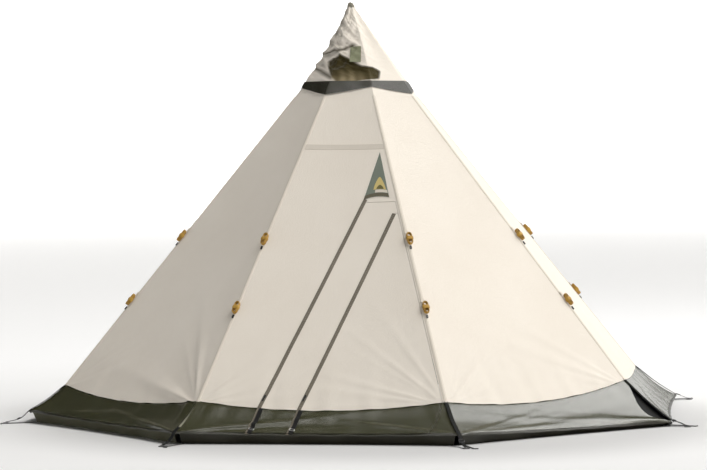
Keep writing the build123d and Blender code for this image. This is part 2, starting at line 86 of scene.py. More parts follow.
def zip_line(joint, slider):
    """A zip seen from the front, as x0 and run in x = x0 + run * z, from its slide joint's axis."""
    axis = joints[joint]["axis"]
    middle = np.mean([np.array(corner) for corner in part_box(slider)], axis=0)
    run = axis[0] / axis[2]
    return middle[0] - run * (middle[2] - SLIDER_STANDOFF * OUT_Z), run


left_zip = zip_line("left_zip_slide", "left_zip_slider")
right_zip = zip_line("right_zip_slide", "right_zip_slider")
hinge_pos, hinge_axis = joints["door_leaf_hinge"]["pos_m"], joints["door_leaf_hinge"]["axis"]
hinge_run = hinge_axis[0] / hinge_axis[2]
hinge_line = (hinge_pos[0] - hinge_run * hinge_pos[2], hinge_run)
print("join", round(join_z, 3), "apothem", round(join_apothem, 3), "zips", left_zip, right_zip)

# %% [markdown]
# The camera stands far back with a long lens, near the height of a person's eyes, so the tent's
# sides hardly converge. It looks a little down and a little to the left, towards the pole.

# %% Camera
LENS_MM = 139.37
SENSOR_MM = 36
CAMERA_PLACE = (2.2723, -17.987, 1.8026)
CAMERA_TURN = (88.0, 0.4497, 7.2743)  # degrees about X, Y and Z, in that order
camera_data = bpy.data.cameras.new("camera")
camera_data.sensor_width = SENSOR_MM
camera_data.lens = LENS_MM
camera_data.clip_end = 200
camera = bpy.data.objects.new("camera", camera_data)
camera.location = CAMERA_PLACE
camera.rotation_euler = [math.radians(angle) for angle in CAMERA_TURN]
bpy.context.collection.objects.link(camera)
bpy.context.scene.camera = camera
print("camera", round(math.dist(CAMERA_PLACE, (0, 0, CAMERA_PLACE[2])), 2), "m from the pole")

# %% [markdown]
# Cloth is a grid of points with four-sided faces between them. These few helpers make the faces, turn
# them outward and hand the mesh to the scene, so that each piece below only has to say where its
# points are.

# %% Meshes from grids
def enclosed(points, faces):
    """Six times the volume that quads enclose: the sum of a . (b x c) + a . (c x d)."""
    a, b, c, d = (points[faces[:, k]] for k in range(4))
    return (a * np.cross(b, c)).sum() + (a * np.cross(c, d)).sum()


def orient(points, faces, centre):
    """Turn the faces over if, on the whole, they point towards centre; with no centre, if the volume
    they enclose is negative."""
    if centre is None:
        outward = enclosed(points, faces)
    else:
        a, b, c = points[faces[:, 0]], points[faces[:, 1]], points[faces[:, 2]]
        outward = (np.cross(b - a, c - a) * ((a + b + c) / 3 - np.array(centre))).sum()
    return faces if outward >= 0 else faces[:, ::-1]


def grid_faces(rows, columns, closed_rows=False, closed_columns=False):
    """Quads of a grid of points, each from point (i, j) to its neighbours i + 1 and j + 1."""
    i, j = np.meshgrid(
        np.arange(rows if closed_rows else rows - 1),
        np.arange(columns if closed_columns else columns - 1),
        indexing="ij",
    )
    i, j = i.ravel(), j.ravel()
    ahead, beside = (i + 1) % rows, (j + 1) % columns
    return np.stack(
        [i * columns + j, i * columns + beside, ahead * columns + beside, ahead * columns + j], axis=1
    )


def mesh_object(name, points, faces, material, uv=None):
    """A mesh object from points and faces; uv, where it is given, has one pair for each point."""
    mesh = bpy.data.meshes.new(name)
    mesh.from_pydata(points.tolist(), [], faces)
    if uv is not None:
        face_corners = np.zeros(len(mesh.loops), np.int32)
        mesh.loops.foreach_get("vertex_index", face_corners)
        layer = mesh.uv_layers.new(name="cloth")
        layer.data.foreach_set("uv", uv[face_corners].astype(np.float32).ravel())
    mesh.update()
    piece = bpy.data.objects.new(name, mesh)
    piece.data.materials.append(material)
    bpy.context.collection.objects.link(piece)
    return piece


def make_piece(name, points, faces, material, centre=None, uv=None):
    """A smooth piece from points (n, 3) and quads (m, 4), its faces turned away from centre."""
    piece = mesh_object(name, points, orient(points, faces, centre).tolist(), material, uv)
    piece.data.polygons.foreach_set("use_smooth", np.ones(len(piece.data.polygons), bool))
    return piece


def join_grids(grids):
    """Several point grids as one list of points and one list of quads."""
    points, faces, start = [], [], 0
    for grid in grids:
        rows, columns = grid.shape[:2]
        points.append(grid.reshape(-1, 3))
        faces.append(grid_faces(rows, columns) + start)
        start += rows * columns
    return np.concatenate(points), np.concatenate(faces)


def plain_material(name, color, roughness, metallic=0.0):
    """A material with one shader; returns it with its node tree and that shader."""
    material = bpy.data.materials.new(name)
    material.use_nodes = True
    shader = material.node_tree.nodes["Principled BSDF"]
    shader.inputs["Base Color"].default_value = (*color, 1)
    shader.inputs["Roughness"].default_value = roughness
    shader.inputs["Metallic"].default_value = metallic
    return material, material.node_tree, shader


# %% [markdown]
# The tent stands on pale card, as in a studio. Round the tent the card's colour is a little darker, a
# painted shade standing for the tent's shadow, and further out it glows faintly, as painted light. Both
# change with the distance from a point near the door. A ring of lit card stands far out behind everything.

# %% Floor and card
CARD_CENTRE = (0.25, -0.60, 0.0)
# Painted shade and glow: the card's colour darkens near the tent, and its emission comes in further out.
CARD_SHADE_AND_GLOW = {  # from this radius to that one, and from this value to that one
    "Base Color": (1.7, 2.7, 0.64, 0.92),
    "Emission Strength": (2.4, 6.0, 0.0, 0.13),
}
CARD_GLOW = 0.9
STUDIO_RADIUS = 45.0
CARD_TALL = 9.0
FLOOR_Z = -0.0005
card, card_tree, card_shader = plain_material("pale_card", (0.90, 0.90, 0.90), 0.9)
card_place = card_tree.nodes.new("ShaderNodeTexCoord")
card_centre = card_tree.nodes.new("ShaderNodeVectorMath")
card_centre.operation = "SUBTRACT"
card_centre.inputs[1].default_value = CARD_CENTRE
card_tree.links.new(card_place.outputs["Object"], card_centre.inputs[0])
card_radius = card_tree.nodes.new("ShaderNodeVectorMath")
card_radius.operation = "LENGTH"
card_tree.links.new(card_centre.outputs["Vector"], card_radius.inputs[0])
for socket, (near, far, low, high) in CARD_SHADE_AND_GLOW.items():
    fade = card_tree.nodes.new("ShaderNodeMapRange")
    fade.interpolation_type = "SMOOTHSTEP"
    fade.inputs["From Min"].default_value = near
    fade.inputs["From Max"].default_value = far
    fade.inputs["To Min"].default_value = low
    fade.inputs["To Max"].default_value = high
    card_tree.links.new(card_radius.outputs["Value"], fade.inputs["Value"])
    card_tree.links.new(fade.outputs["Result"], card_shader.inputs[socket])
card_shader.inputs["Emission Color"].default_value = (1, 1, 1, 1)
lit_card, _, lit_shader = plain_material("lit_card", (0.9, 0.9, 0.9), 0.9)
lit_shader.inputs["Emission Color"].default_value = (1, 1, 1, 1)
lit_shader.inputs["Emission Strength"].default_value = CARD_GLOW
around = np.linspace(0, 2 * math.pi, 96, endpoint=False)
circle = np.stack([np.cos(around), np.sin(around)], axis=1)


def studio_ring(name, rings, material, centre):
    """A surface of revolution about the pole, from (radius, height) pairs."""
    points = np.concatenate(
        [np.c_[radius * circle, np.full(len(circle), height)] for radius, height in rings]
    )
    faces = grid_faces(len(rings), len(circle), closed_columns=True)
    make_piece(name, points, faces, material, centre)


studio_ring("studio_floor", [(0.01, FLOOR_Z), (8.0, FLOOR_Z), (STUDIO_RADIUS, FLOOR_Z)], card, (0, 0, -20))
studio_ring("studio_card", [(STUDIO_RADIUS, FLOOR_Z), (STUDIO_RADIUS, CARD_TALL)], lit_card, None)
print("floor out to", STUDIO_RADIUS, "m")

# %% [markdown]
# A broad, soft sun comes from the right. A sky panel stands high behind the tent on the right: the
# coated cloth of the skirt mirrors it at a grazing angle, which is what makes that side pale.

# %% Light
WORLD_STRENGTH = 0.055
SUN_STRENGTH = 2.50
SUN_WIDTH = 35  # degrees across, for soft shadows
SUN_HEADING = (-0.482, 0.087, -0.70)
PANEL_SIZE = (6, 7)
PANEL_POWER = 600
PANEL_PLACE = (7.6, 4.6, 9.6)
PANEL_HEADING = (-6.3, -6.1, -9.5)
bpy.context.scene.view_settings.view_transform = "Standard"
world = bpy.data.worlds.new("studio")
bpy.context.scene.world = world
world.use_nodes = True
world.node_tree.nodes["Background"].inputs["Color"].default_value = (1, 1, 1, 1)
world.node_tree.nodes["Background"].inputs["Strength"].default_value = WORLD_STRENGTH


def aim(light, towards):
    """Turn a light so that its -Z axis points along a direction."""
    light.rotation_mode = "QUATERNION"
    light.rotation_quaternion = Vector(towards).to_track_quat("-Z", "Y")


sun_data = bpy.data.lights.new("sun", "SUN")
sun_data.energy = SUN_STRENGTH
sun_data.angle = math.radians(SUN_WIDTH)
sun_data.color = (1.0, 0.985, 0.955)
sun = bpy.data.objects.new("sun", sun_data)
bpy.context.collection.objects.link(sun)
aim(sun, SUN_HEADING)
sky_data = bpy.data.lights.new("sky_panel", "AREA")
sky_data.shape = "RECTANGLE"
sky_data.size, sky_data.size_y = PANEL_SIZE
sky_data.energy = PANEL_POWER
sky = bpy.data.objects.new("sky_panel", sky_data)
bpy.context.collection.objects.link(sky)
sky.location = PANEL_PLACE
aim(sky, PANEL_HEADING)
print("sun", SUN_STRENGTH, "panel", PANEL_POWER)

# %% [markdown]
# Cloth gets one recipe with different numbers. Crossed bands in the cloth's own UV, which is in
# metres, give the threads; a slow noise on object coordinates gives the uneven dye and handling
# marks; both go to colour and, faintly, to bump. Values that are the same everywhere stay on the
# shader's own sockets.

# %% Recipes for cloth, cord and solids
BAND_PERIOD = 0.314  # metres between bands of a wave texture at scale 1


def mix_colors(tree, factor, first, second):
    """Two colours mixed by a factor from another node."""
    mix = tree.nodes.new("ShaderNodeMix")
    mix.data_type = "RGBA"
    mix.inputs["A"].default_value = (*first, 1)
    mix.inputs["B"].default_value = (*second, 1)
    tree.links.new(factor, mix.inputs["Factor"])
    return mix.outputs["Result"]


def texture(tree, kind, vector, **settings):
    """A texture node fed by a vector; capitalised settings go to its sockets, the others to it."""
    node = tree.nodes.new(kind)
    for key, value in settings.items():
        if key[0].isupper():
            node.inputs[key].default_value = value
        else:
            setattr(node, key, value)
    tree.links.new(vector, node.inputs["Vector"])
    return node


def sum_of(tree, first, second, weight):
    """first + second * weight, as one multiply-add node."""
    node = tree.nodes.new("ShaderNodeMath")
    node.operation = "MULTIPLY_ADD"
    tree.links.new(second, node.inputs[0])
    node.inputs[1].default_value = weight
    tree.links.new(first, node.inputs[2])
    return node.outputs[0]


def bump_from(tree, shader, height, distance):
    """Relief: a height from another node tilts the shader's normal, distance metres deep."""
    bump = tree.nodes.new("ShaderNodeBump")
    bump.inputs["Distance"].default_value = distance
    tree.links.new(height, bump.inputs["Height"])
    tree.links.new(bump.outputs["Normal"], shader.inputs["Normal"])


def cloth_material(name, color, worn, thread, roughness, specular, sheen, mottle=1.6, relief=0.0002):
    """Woven cloth: colour and worn are mixed by slow noise and threads; thread is the thread pitch."""
    material, tree, shader = plain_material(name, color, roughness)
    shader.inputs["Specular IOR Level"].default_value = specular
    shader.inputs["Sheen Weight"].default_value = sheen
    shader.inputs["Sheen Roughness"].default_value = 0.4
    place = tree.nodes.new("ShaderNodeTexCoord")
    slow = texture(
        tree, "ShaderNodeTexNoise", place.outputs["Object"], Scale=mottle, Detail=6.0, Roughness=0.6
    )
    fine = texture(tree, "ShaderNodeTexNoise", place.outputs["Object"], Scale=260.0, Detail=3.0)
    warp, weft = (
        texture(
            tree,
            "ShaderNodeTexWave",
            place.outputs["UV"],
            bands_direction=way,
            Scale=BAND_PERIOD / thread,
            Distortion=0.6,
        )
        for way in "XY"
    )
    weave = sum_of(tree, warp.outputs["Fac"], weft.outputs["Fac"], 1.0)
    tone = sum_of(tree, slow.outputs["Fac"], weave, 0.10)
    tone = sum_of(tree, tone, fine.outputs["Fac"], 0.12)
    ramp = tree.nodes.new("ShaderNodeMapRange")
    ramp.inputs["From Min"].default_value = 0.40
    ramp.inputs["From Max"].default_value = 1.00
    tree.links.new(tone, ramp.inputs["Value"])
    tree.links.new(mix_colors(tree, ramp.outputs["Result"], color, worn), shader.inputs["Base Color"])
    crease = texture(
        tree, "ShaderNodeTexNoise", place.outputs["Object"], Scale=9.0, Detail=4.0, Distortion=1.2
    )
    height = sum_of(tree, weave, crease.outputs["Fac"], 1.0)
    bump_from(tree, shader, height, relief)
    return material


def cord_material(name, color, dark):
    """Braided cord: two noisy bands across the cord's own length darken the gaps between strands, as
    painted shade.
    """
    material, tree, shader = plain_material(name, color, 0.62)
    shader.inputs["Sheen Weight"].default_value = 0.3
    place = tree.nodes.new("ShaderNodeTexCoord")
    braid = texture(
        tree, "ShaderNodeTexWave", place.outputs["Object"], Scale=BAND_PERIOD / 0.004, Distortion=3.0
    )
    braid.bands_direction = "DIAGONAL"
    tree.links.new(mix_colors(tree, braid.outputs["Fac"], dark, color), shader.inputs["Base Color"])
    bump_from(tree, shader, braid.outputs["Fac"], 0.0006)
    return material


def solid_material(name, color, worn, roughness, metallic, scale, relief):
    """Metal, rubber or moulded plastic: worn patches and a fine grain from noise on object coordinates."""
    material, tree, shader = plain_material(name, color, roughness, metallic)
    place = tree.nodes.new("ShaderNodeTexCoord")
    patches = texture(tree, "ShaderNodeTexNoise", place.outputs["Object"], Scale=scale, Detail=8.0)
    grain = texture(tree, "ShaderNodeTexNoise", place.outputs["Object"], Scale=scale * 30, Detail=2.0)
    tree.links.new(mix_colors(tree, patches.outputs["Fac"], color, worn), shader.inputs["Base Color"])
    bump_from(tree, shader, grain.outputs["Fac"], relief)
    return material


# %% [markdown]
# The finishes, with colours as they are before light falls on them. Each cloth has its colour, its
# worn colour, the pitch of its threads in metres, then roughness, specular level and sheen. The canvas
# is matt; the skirt is coated, so it is much smoother and mirrors the sky at a grazing angle.

# %% Finishes
canvas = cloth_material("canvas", (0.80, 0.735, 0.645), (0.86, 0.80, 0.715), 0.0011, 0.92, 0.15, 0.15)
seam_cloth = cloth_material(
    "seam_canvas", (0.70, 0.64, 0.55), (0.80, 0.735, 0.645), 0.0011, 0.92, 0.15, 0.15
)
lap_cloth = cloth_material("lap_canvas", (0.66, 0.60, 0.52), (0.72, 0.66, 0.58), 0.0011, 0.92, 0.15, 0.15)
olive = cloth_material(
    "olive_skirt", (0.036, 0.036, 0.011), (0.050, 0.050, 0.020), 0.0009, 0.27, 0.5, 0.0, relief=0.0001
)
olive.node_tree.nodes["Principled BSDF"].inputs["IOR"].default_value = 1.9
dark_olive = cloth_material(
    "dark_olive_band", (0.014, 0.013, 0.005), (0.028, 0.026, 0.013), 0.0009, 0.34, 0.6, 0.0
)
flap_cloth = cloth_material(
    "flap_cloth", (0.050, 0.048, 0.022), (0.10, 0.098, 0.058), 0.0009, 0.5, 0.4, 0.0
)
patch_cloth = cloth_material(
    "patch_cloth", (0.145, 0.172, 0.135), (0.21, 0.235, 0.19), 0.0008, 0.6, 0.4, 0.2
)
cap_patch_cloth = cloth_material(
    "cap_patch_cloth", (0.20, 0.21, 0.125), (0.27, 0.28, 0.18), 0.0008, 0.7, 0.3, 0.2
)
hood_cloth = cloth_material("hood_cloth", (0.20, 0.185, 0.145), (0.28, 0.26, 0.20), 0.0008, 0.8, 0.2, 0.1)
gold_thread = cloth_material("gold_thread", (0.55, 0.42, 0.12), (0.72, 0.60, 0.25), 0.0012, 0.5, 0.5, 0.3)
stripe_cloth = cloth_material(
    "patch_stripe", (0.095, 0.084, 0.05), (0.14, 0.125, 0.08), 0.0009, 0.6, 0.4, 0.1
)
dark_gold = cloth_material(
    "dark_gold_thread", (0.10, 0.085, 0.012), (0.16, 0.135, 0.03), 0.0012, 0.5, 0.5, 0.2
)
zip_tape_cloth = cloth_material(
    "zip_tape", (0.155, 0.137, 0.105), (0.25, 0.22, 0.175), 0.0008, 0.8, 0.2, 0.0
)
webbing = cloth_material(
    "black_webbing", (0.004, 0.004, 0.004), (0.012, 0.012, 0.011), 0.0018, 0.7, 0.25, 0.0
)
net_cloth = cloth_material("black_net", (0.02, 0.02, 0.02), (0.04, 0.04, 0.04), 0.0016, 0.8, 0.2, 0.1)
# The second colour is the painted shade in the gaps of the braid.
guy_cord = cord_material("amber_guy_line", (0.62, 0.36, 0.045), (0.30, 0.15, 0.012))
tie_cloth = cloth_material("hank_tie", (0.42, 0.23, 0.03), (0.62, 0.38, 0.07), 0.0012, 0.6, 0.4, 0.2)
# Pale cloth for the gusset at the corner left of the door: a painted highlight on the lit side of that
# pleat.
painted_highlight_lining = cloth_material("painted_highlight_lining", (0.55, 0.53, 0.42), (0.66, 0.64, 0.52), 0.0009, 0.7, 0.3, 0.1)
plastic = solid_material(
    "black_plastic", (0.018, 0.018, 0.018), (0.035, 0.035, 0.034), 0.42, 0.0, 40.0, 0.0002
)
aluminium = solid_material(
    "pole_aluminium", (0.62, 0.63, 0.65), (0.74, 0.75, 0.76), 0.28, 1.0, 12.0, 0.0001
)
steel = solid_material("zinc_steel", (0.10, 0.10, 0.10), (0.22, 0.22, 0.22), 0.38, 0.9, 60.0, 0.0002)
bright_steel = solid_material(
    "bright_steel", (0.62, 0.62, 0.60), (0.74, 0.74, 0.72), 0.3, 0.9, 60.0, 0.0001
)
rubber = solid_material("foot_rubber", (0.016, 0.016, 0.016), (0.03, 0.03, 0.03), 0.8, 0.0, 50.0, 0.0004)
zip_metal = solid_material("zip_enamel", (0.02, 0.02, 0.02), (0.06, 0.06, 0.055), 0.3, 0.6, 80.0, 0.0001)
print("finishes", len(bpy.data.materials))

# %% [markdown]
# The hard parts come from the CAD frame with their shapes complete, and only get a finish here:
# aluminium for the pole's tubes, rubber for its foot, plastic for the clamp, the hub and the line
# runners, steel for pegs and rings, and cloth for the webbing and the small tabs.

# %% Finish the CAD nodes
cad_finish = {
    "pole_lower_tube": aluminium,
    "pole_upper_tube": aluminium,
    "pole_foot": rubber,
    "pole_clamp_collar": plastic,
    "pole_clamp_lever": plastic,
    "clamp_lever_pin": steel,
    "crown_hub": plastic,
    "crown_ring": webbing,
    "crown_straps": webbing,
    "peg_rings": steel,
    "pegs": steel,
    "line_runners": plastic,
    "guy_out_tabs": seam_cloth,
    "left_zip_slider": zip_metal,
    "right_zip_slider": zip_metal,
}
for node, finish in cad_finish.items():
    node_object = bpy.data.objects[node]
    node_object.data.materials.clear()
    node_object.data.materials.append(finish)
print("finished CAD nodes", len(cad_finish))

# %% [markdown]
# Tensioned canvas is nearly flat, and what tells the eye that it is cloth is small: the lower edge
# sags between the corners, the middle of each side sits a finger's width inside the flat plane, and
# creases run out of the corners where the pegs pull. Each of these is a formula in the side's own
# level coordinate x and height z, so a door piece cut out of a side still lines up with it.

# %% Canvas surface
JOIN_RISE = 0.023  # the join is this much higher at a corner than in the CAD
JOIN_SAG = (0.052, 0.052, 0.006, 0.03, 0.05, 0.05, 0.03, 0.052)  # side by side
CORNER_RISE = np.array([0.0, 0.0, 0.045, 0.010, 0.0, 0.0, 0.0, 0.0])  # corner by corner, uneven pitching
random = np.random.default_rng(7)
CREASE_COUNT = 6
crease_table = random.uniform(0.0, 1.0, (SIDES, 2, CREASE_COUNT, 3))
CREASE_PULL = np.full((SIDES, 2), 0.8)
CREASE_PULL[0] = (0.5, 0.8)
CREASE_PULL[7] = (0.7, 2.0)  # the corner left of the door is pulled hardest
BILLOW = 0.012


def turned(side, x, y, z):
    """Points of side 0 carried round the pole to another side: a turn by side * 45 degrees."""
    angle = side * 2 * HALF
    cosine, sine = math.cos(angle), math.sin(angle)
    return np.stack([x * cosine - y * sine, x * sine + y * cosine, z], axis=-1)


def join_height(side, x):
    """Height of the join: straight between the two corners, less a sag of 4 u (1 - u)."""
    u = np.clip(x / side_width(join_z) + 0.5, 0, 1)
    rise = CORNER_RISE[side] * (1 - u) ** 2 + CORNER_RISE[(side + 1) % SIDES] * u**2
    return join_z + JOIN_RISE + rise - JOIN_SAG[side] * 4 * u * (1 - u)


def canvas_offset(side, x, z):
    """How far the cloth stands off the flat side: minus the billow, plus creases that fan out of the
    two lower corners, each a narrow ridge exp(-(angle - a)^2 / w^2) fading with distance."""
    width = side_width(z)
    across = 2 * x / width
    up = (z - join_z) / (crown_z - join_z)
    offset = -BILLOW * (1 - across**2) * np.sin(np.pi * np.clip(up, 0, 1) ** 0.7)
    corner_x = side_width(join_z) / 2
    for end, sign in enumerate((-1, 1)):
        away = np.hypot(x - sign * corner_x, (z - join_z - JOIN_RISE) / OUT_LEVEL)
        angle = np.arctan2((z - join_z) / OUT_LEVEL, -sign * (x - sign * corner_x))
        for place, height, spread in crease_table[side, end]:
            middle = 0.12 + 0.95 * place
            ridge = np.exp(-((angle - middle) ** 2) / (0.03 + 0.05 * spread) ** 2)
            fade = np.exp(-away / (0.25 + 0.30 * spread)) * (1 - np.exp(-away / 0.06))
            offset = offset + CREASE_PULL[side, end] * (0.004 + 0.009 * height) * ridge * fade
    ripple = np.sin(2 * np.pi * x / 0.23 + side) + 0.6 * np.sin(2 * np.pi * x / 0.13 + 2.1 * side)
    offset = offset + 0.0022 * ripple * np.exp(-(z - join_z) / 0.16)
    return offset * (1 - np.clip(np.abs(across), 0, 1) ** 10)


def on_canvas(side, x, z, lift=0.0):
    """The point of a canvas side at level coordinate x and height z, lifted along its normal."""
    off = canvas_offset(side, x, z) + lift
    return turned(side, x, -(apothem(z) + off * OUT_LEVEL), z + off * OUT_Z)


def meet_join(side, line_x):
    """Height where a line x(z) meets the sagging join: z = join(x(z)), solved in three rounds."""
    z = join_z
    for _ in range(3):
        z = join_height(side, line_x(z))
    return z


def ruled(side, left, right, top, rows, columns, low=None):
    """A grid of (x, z) between two lines given as x(z), up to top; it starts at the sagging join, or
    at the level low. Rows close up towards the bottom, where the creases are."""
    u = np.linspace(0, 1, columns)[None, :]
    v = np.linspace(0, 1, rows)[:, None] ** 1.25
    if low is None:
        low_z = meet_join(side, lambda z: left(z) + (right(z) - left(z)) * u)
    else:
        low_z = np.full_like(u, low)
    z = low_z + (top - low_z) * v
    return left(z) + (right(z) - left(z)) * u, z


def cloth_uv(x, z):
    """Level coordinate and distance up the slope, both in metres, as the cloth's own pattern space."""
    return np.stack([x.ravel(), (z / OUT_LEVEL).ravel()], axis=1)


def surface_area(points, faces):
    """Area of quads, as two triangles each."""
    a, b, c, d = (points[faces[:, k]] for k in range(4))
    halves = (np.cross(b - a, c - a), np.cross(c - a, d - a))
    return 0.5 * sum(np.linalg.norm(half, axis=1).sum() for half in halves)


def canvas_piece(node, side, body, grids):
    """One cloth piece of a side from one or more (x, z) grids, standing for its CAD node."""
    points, faces = join_grids([on_canvas(side, x, z) for x, z in grids])
    uv = np.concatenate([cloth_uv(x, z) for x, z in grids])
    piece = make_piece(f"{node}_cloth", points, faces, canvas, (0, 0, 0.5), uv)
    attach(piece, body)
    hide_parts(node)
    return piece


def seam_at(sign):
    """The seam on one hand of a side, as x(z)."""
    return lambda z: sign * side_width(z) / 2


places = ("entrance", "front_right", "right", "rear_right", "rear", "rear_left", "left", "front_left")
for side, place in enumerate(places):
    if side > 0:
        grid = ruled(side, seam_at(-1), seam_at(1), crown_z, 150, 120)
        canvas_piece(f"canvas_{place}", side, "tent", [grid])
print("canvas sides", SIDES - 1, "each about", round((crown_z - join_z) / OUT_LEVEL, 2), "m up the slope")

# %% [markdown]
# The entrance side is cut along the two zips. The pieces share the surface above, so they only need
# their outlines: a crown and a head panel, the fixed cloth left of the left zip, the strip between
# the zips that carries the net, the leaf right of the right zip, and the border the door folds about.

# %% Entrance canvas
CUT = 0.001
head_low, head_high = (np.array(corner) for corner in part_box("entrance_head_panel"))
strip_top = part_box("net_door_strip")[1][2]
leaf_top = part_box("door_leaf_canvas")[1][2]
split_z, crown_seam_z = head_low[2], head_high[2]


def beside_line(line, shift=0.0):
    """A slanting line, moved sideways by shift, as x(z)."""
    return lambda z: line[0] + line[1] * z + shift


jog_z = leaf_top + 2 * CUT
left_seam, right_seam = seam_at(-1), seam_at(1)
before_left, after_left = beside_line(left_zip, -CUT), beside_line(left_zip, CUT)
before_right, after_right = beside_line(right_zip, -CUT), beside_line(right_zip, CUT)
hinge, before_hinge = beside_line(hinge_line), beside_line(hinge_line, -2 * CUT)
entrance_cut = {
    "entrance_crown_panel": ("tent", [ruled(0, left_seam, right_seam, crown_z, 40, 60, crown_seam_z)]),
    "entrance_head_panel": ("tent", [ruled(0, left_seam, right_seam, crown_seam_z, 30, 60, split_z)]),
    "entrance_side_panel": ("tent", [ruled(0, left_seam, before_left, split_z, 110, 60)]),
    "door_hinge_border": ("tent", [ruled(0, hinge, right_seam, split_z, 90, 6)]),
    "net_door_strip": (
        "net_door",
        [
            ruled(0, after_left, before_right, jog_z, 100, 24),
            ruled(0, after_left, before_hinge, strip_top, 12, 24, jog_z),
        ],
    ),
    "door_leaf_canvas": ("door_leaf", [ruled(0, after_right, before_hinge, leaf_top, 110, 70)]),
}
for node, (body, grids) in entrance_cut.items():
    canvas_piece(node, 0, body, grids)
print("entrance pieces", len(entrance_cut), "door leaf top", round(leaf_top, 3))

# %% [markdown]
# Behind the leaf hangs black netting, sewn to the strip between the zips. It is drawn as a sheet just
# behind the canvas, pierced by two crossed sets of threads in its own UV.

# %% Mosquito net
NET_DEPTH = 0.008
net_tree = net_cloth.node_tree
net_shader = net_tree.nodes["Principled BSDF"]
net_place = net_tree.nodes.new("ShaderNodeTexCoord")
net_waves = [
    texture(
        net_tree,
        "ShaderNodeTexWave",
        net_place.outputs["UV"],
        bands_direction=way,
        Scale=BAND_PERIOD / 0.0016,
    )
    for way in "XY"
]
net_threads = sum_of(net_tree, net_waves[0].outputs["Fac"], net_waves[1].outputs["Fac"], 0.8)
net_tree.links.new(net_threads, net_shader.inputs["Alpha"])
net_x, net_z = ruled(0, after_right, before_hinge, leaf_top, 60, 40)
net_points, net_faces = join_grids([on_canvas(0, net_x, net_z, -NET_DEPTH)])
net_piece = make_piece(
    "mosquito_net_mesh", net_points, net_faces, net_cloth, (0, 0, 0.5), cloth_uv(net_x, net_z)
)
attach(net_piece, "net_door")
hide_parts("mosquito_net")
print("net", round(surface_area(net_points, net_faces), 2), "square metres")

# %% [markdown]
# The skirt is a coated, heavier cloth. It starts under the canvas at the sagging join, leans out to the
# pegs, hollows slightly on the way, and its hem is drawn in between the corners like a washing line seen
# from above. Long creases run along it from the corner pulls. At every corner its two sheets part over a
# narrow gusset, a V that opens towards the hem; the gusset is black as painted shade, and pale at the
# corner left of the door as a painted highlight.

# %% Skirt surface
BELOW = (0, 0, -1.5)  # a point under the tent, which the skirt's outer face looks away from
HEM_DRAW = 0.030
HEM_SAG = 0.012
HEM_RISE = np.array([0.022, 0.018, -0.020, -0.012, 0.0, 0.0, 0.0, 0.026])  # by corner, on uneven turf
HEM_REACH = np.array([0.0, 0.0, 0.014, 0.014, 0.0, 0.0, 0.0, -0.008])  # by corner, a share of the radius
SKIRT_HOLLOW = 0.012
TUCK = 0.004  # the skirt's top edge lies this far behind the canvas
GAP_LEFT = (0.016, 0.012, 0.125, 0.050, 0.030, 0.030, 0.030, 0.010)  # gap left of each corner's strap
GAP_RIGHT = (0.010, 0.012, 0.010, 0.050, 0.030, 0.030, 0.030, 0.010)  # and right of it
SKIRT_SLOPE = 0.31  # length of the skirt from join to hem
SKIRT_OUT, SKIRT_UP = 0.62, 0.79  # the skirt's own outward direction, level and up
skirt_table = random.uniform(0.0, 1.0, (SIDES, 2, 4, 3))
skirt_table[1, 1, :2] = ((0.34, 2.4, 0.9), (0.04, 2.0, 0.9))  # two long folds from the right front corner
hem_width = 2 * hem_apothem * math.tan(HALF)


def hem_point(side, share):
    """The hem in a side's own frame: the octagon's side, drawn in and sagging between its corners."""
    reach = 1 + HEM_REACH[side] * (1 - share) + HEM_REACH[(side + 1) % SIDES] * share
    rise = HEM_RISE[side] * (1 - share) + HEM_RISE[(side + 1) % SIDES] * share
    bow = 4 * share * (1 - share)
    out = hem_apothem * reach - HEM_DRAW * bow
    return (share - 0.5) * hem_width * reach, out, hem_z + rise - HEM_SAG * bow


def on_skirt(side, share, down, lift=0.0):
    """The point of a skirt at a share across from corner to corner and a share down from the join."""
    share, down = np.broadcast_arrays(share, down)
    top_z = join_height(side, (share - 0.5) * side_width(join_z))
    top_x = (share - 0.5) * side_width(top_z)
    top_y = apothem(top_z) + canvas_offset(side, top_x, top_z) * OUT_LEVEL
    low_x, low_y, low_z = hem_point(side, share)
    x = top_x + (low_x - top_x) * down
    y = top_y + (low_y - top_y) * down
    z = top_z + (low_z - top_z) * down
    hang = np.sin(np.pi * np.clip(down, 0, 1))
    off = lift - TUCK * np.exp(-np.clip(down, 0, 1) / 0.05) - SKIRT_HOLLOW * hang
    for end in range(2):
        away = (share if end == 0 else 1 - share) * hem_width
        for place, height, spread in skirt_table[side, end]:
            middle = 1.0 - (0.10 + 0.9 * place) * away / 0.9
            ridge = np.exp(-((down - middle) ** 2) / (0.03 + 0.03 * spread + 0.06 * away) ** 2)
            fade = np.exp(-away / (0.35 + 0.4 * spread)) * (1 - np.exp(-away / 0.08))
            off = off + (0.004 + 0.009 * height) * ridge * fade * hang**0.4
    wave = np.sin(2 * np.pi * share * 7 + side * 1.7) * np.clip(down, 0, 1) * 4 * share * (1 - share)
    off = off + 0.002 * wave
    return turned(side, x, -(y + off * SKIRT_OUT), z + off * SKIRT_UP)


def gap_share(gap, down):
    """Half a corner gap as a share of the side: closed at the join, widest three quarters down."""
    low = np.clip(down, 0, 1)
    return gap / hem_width * (0.88 * np.sin(np.pi * low**1.7) ** 0.8 + 0.12 * low)


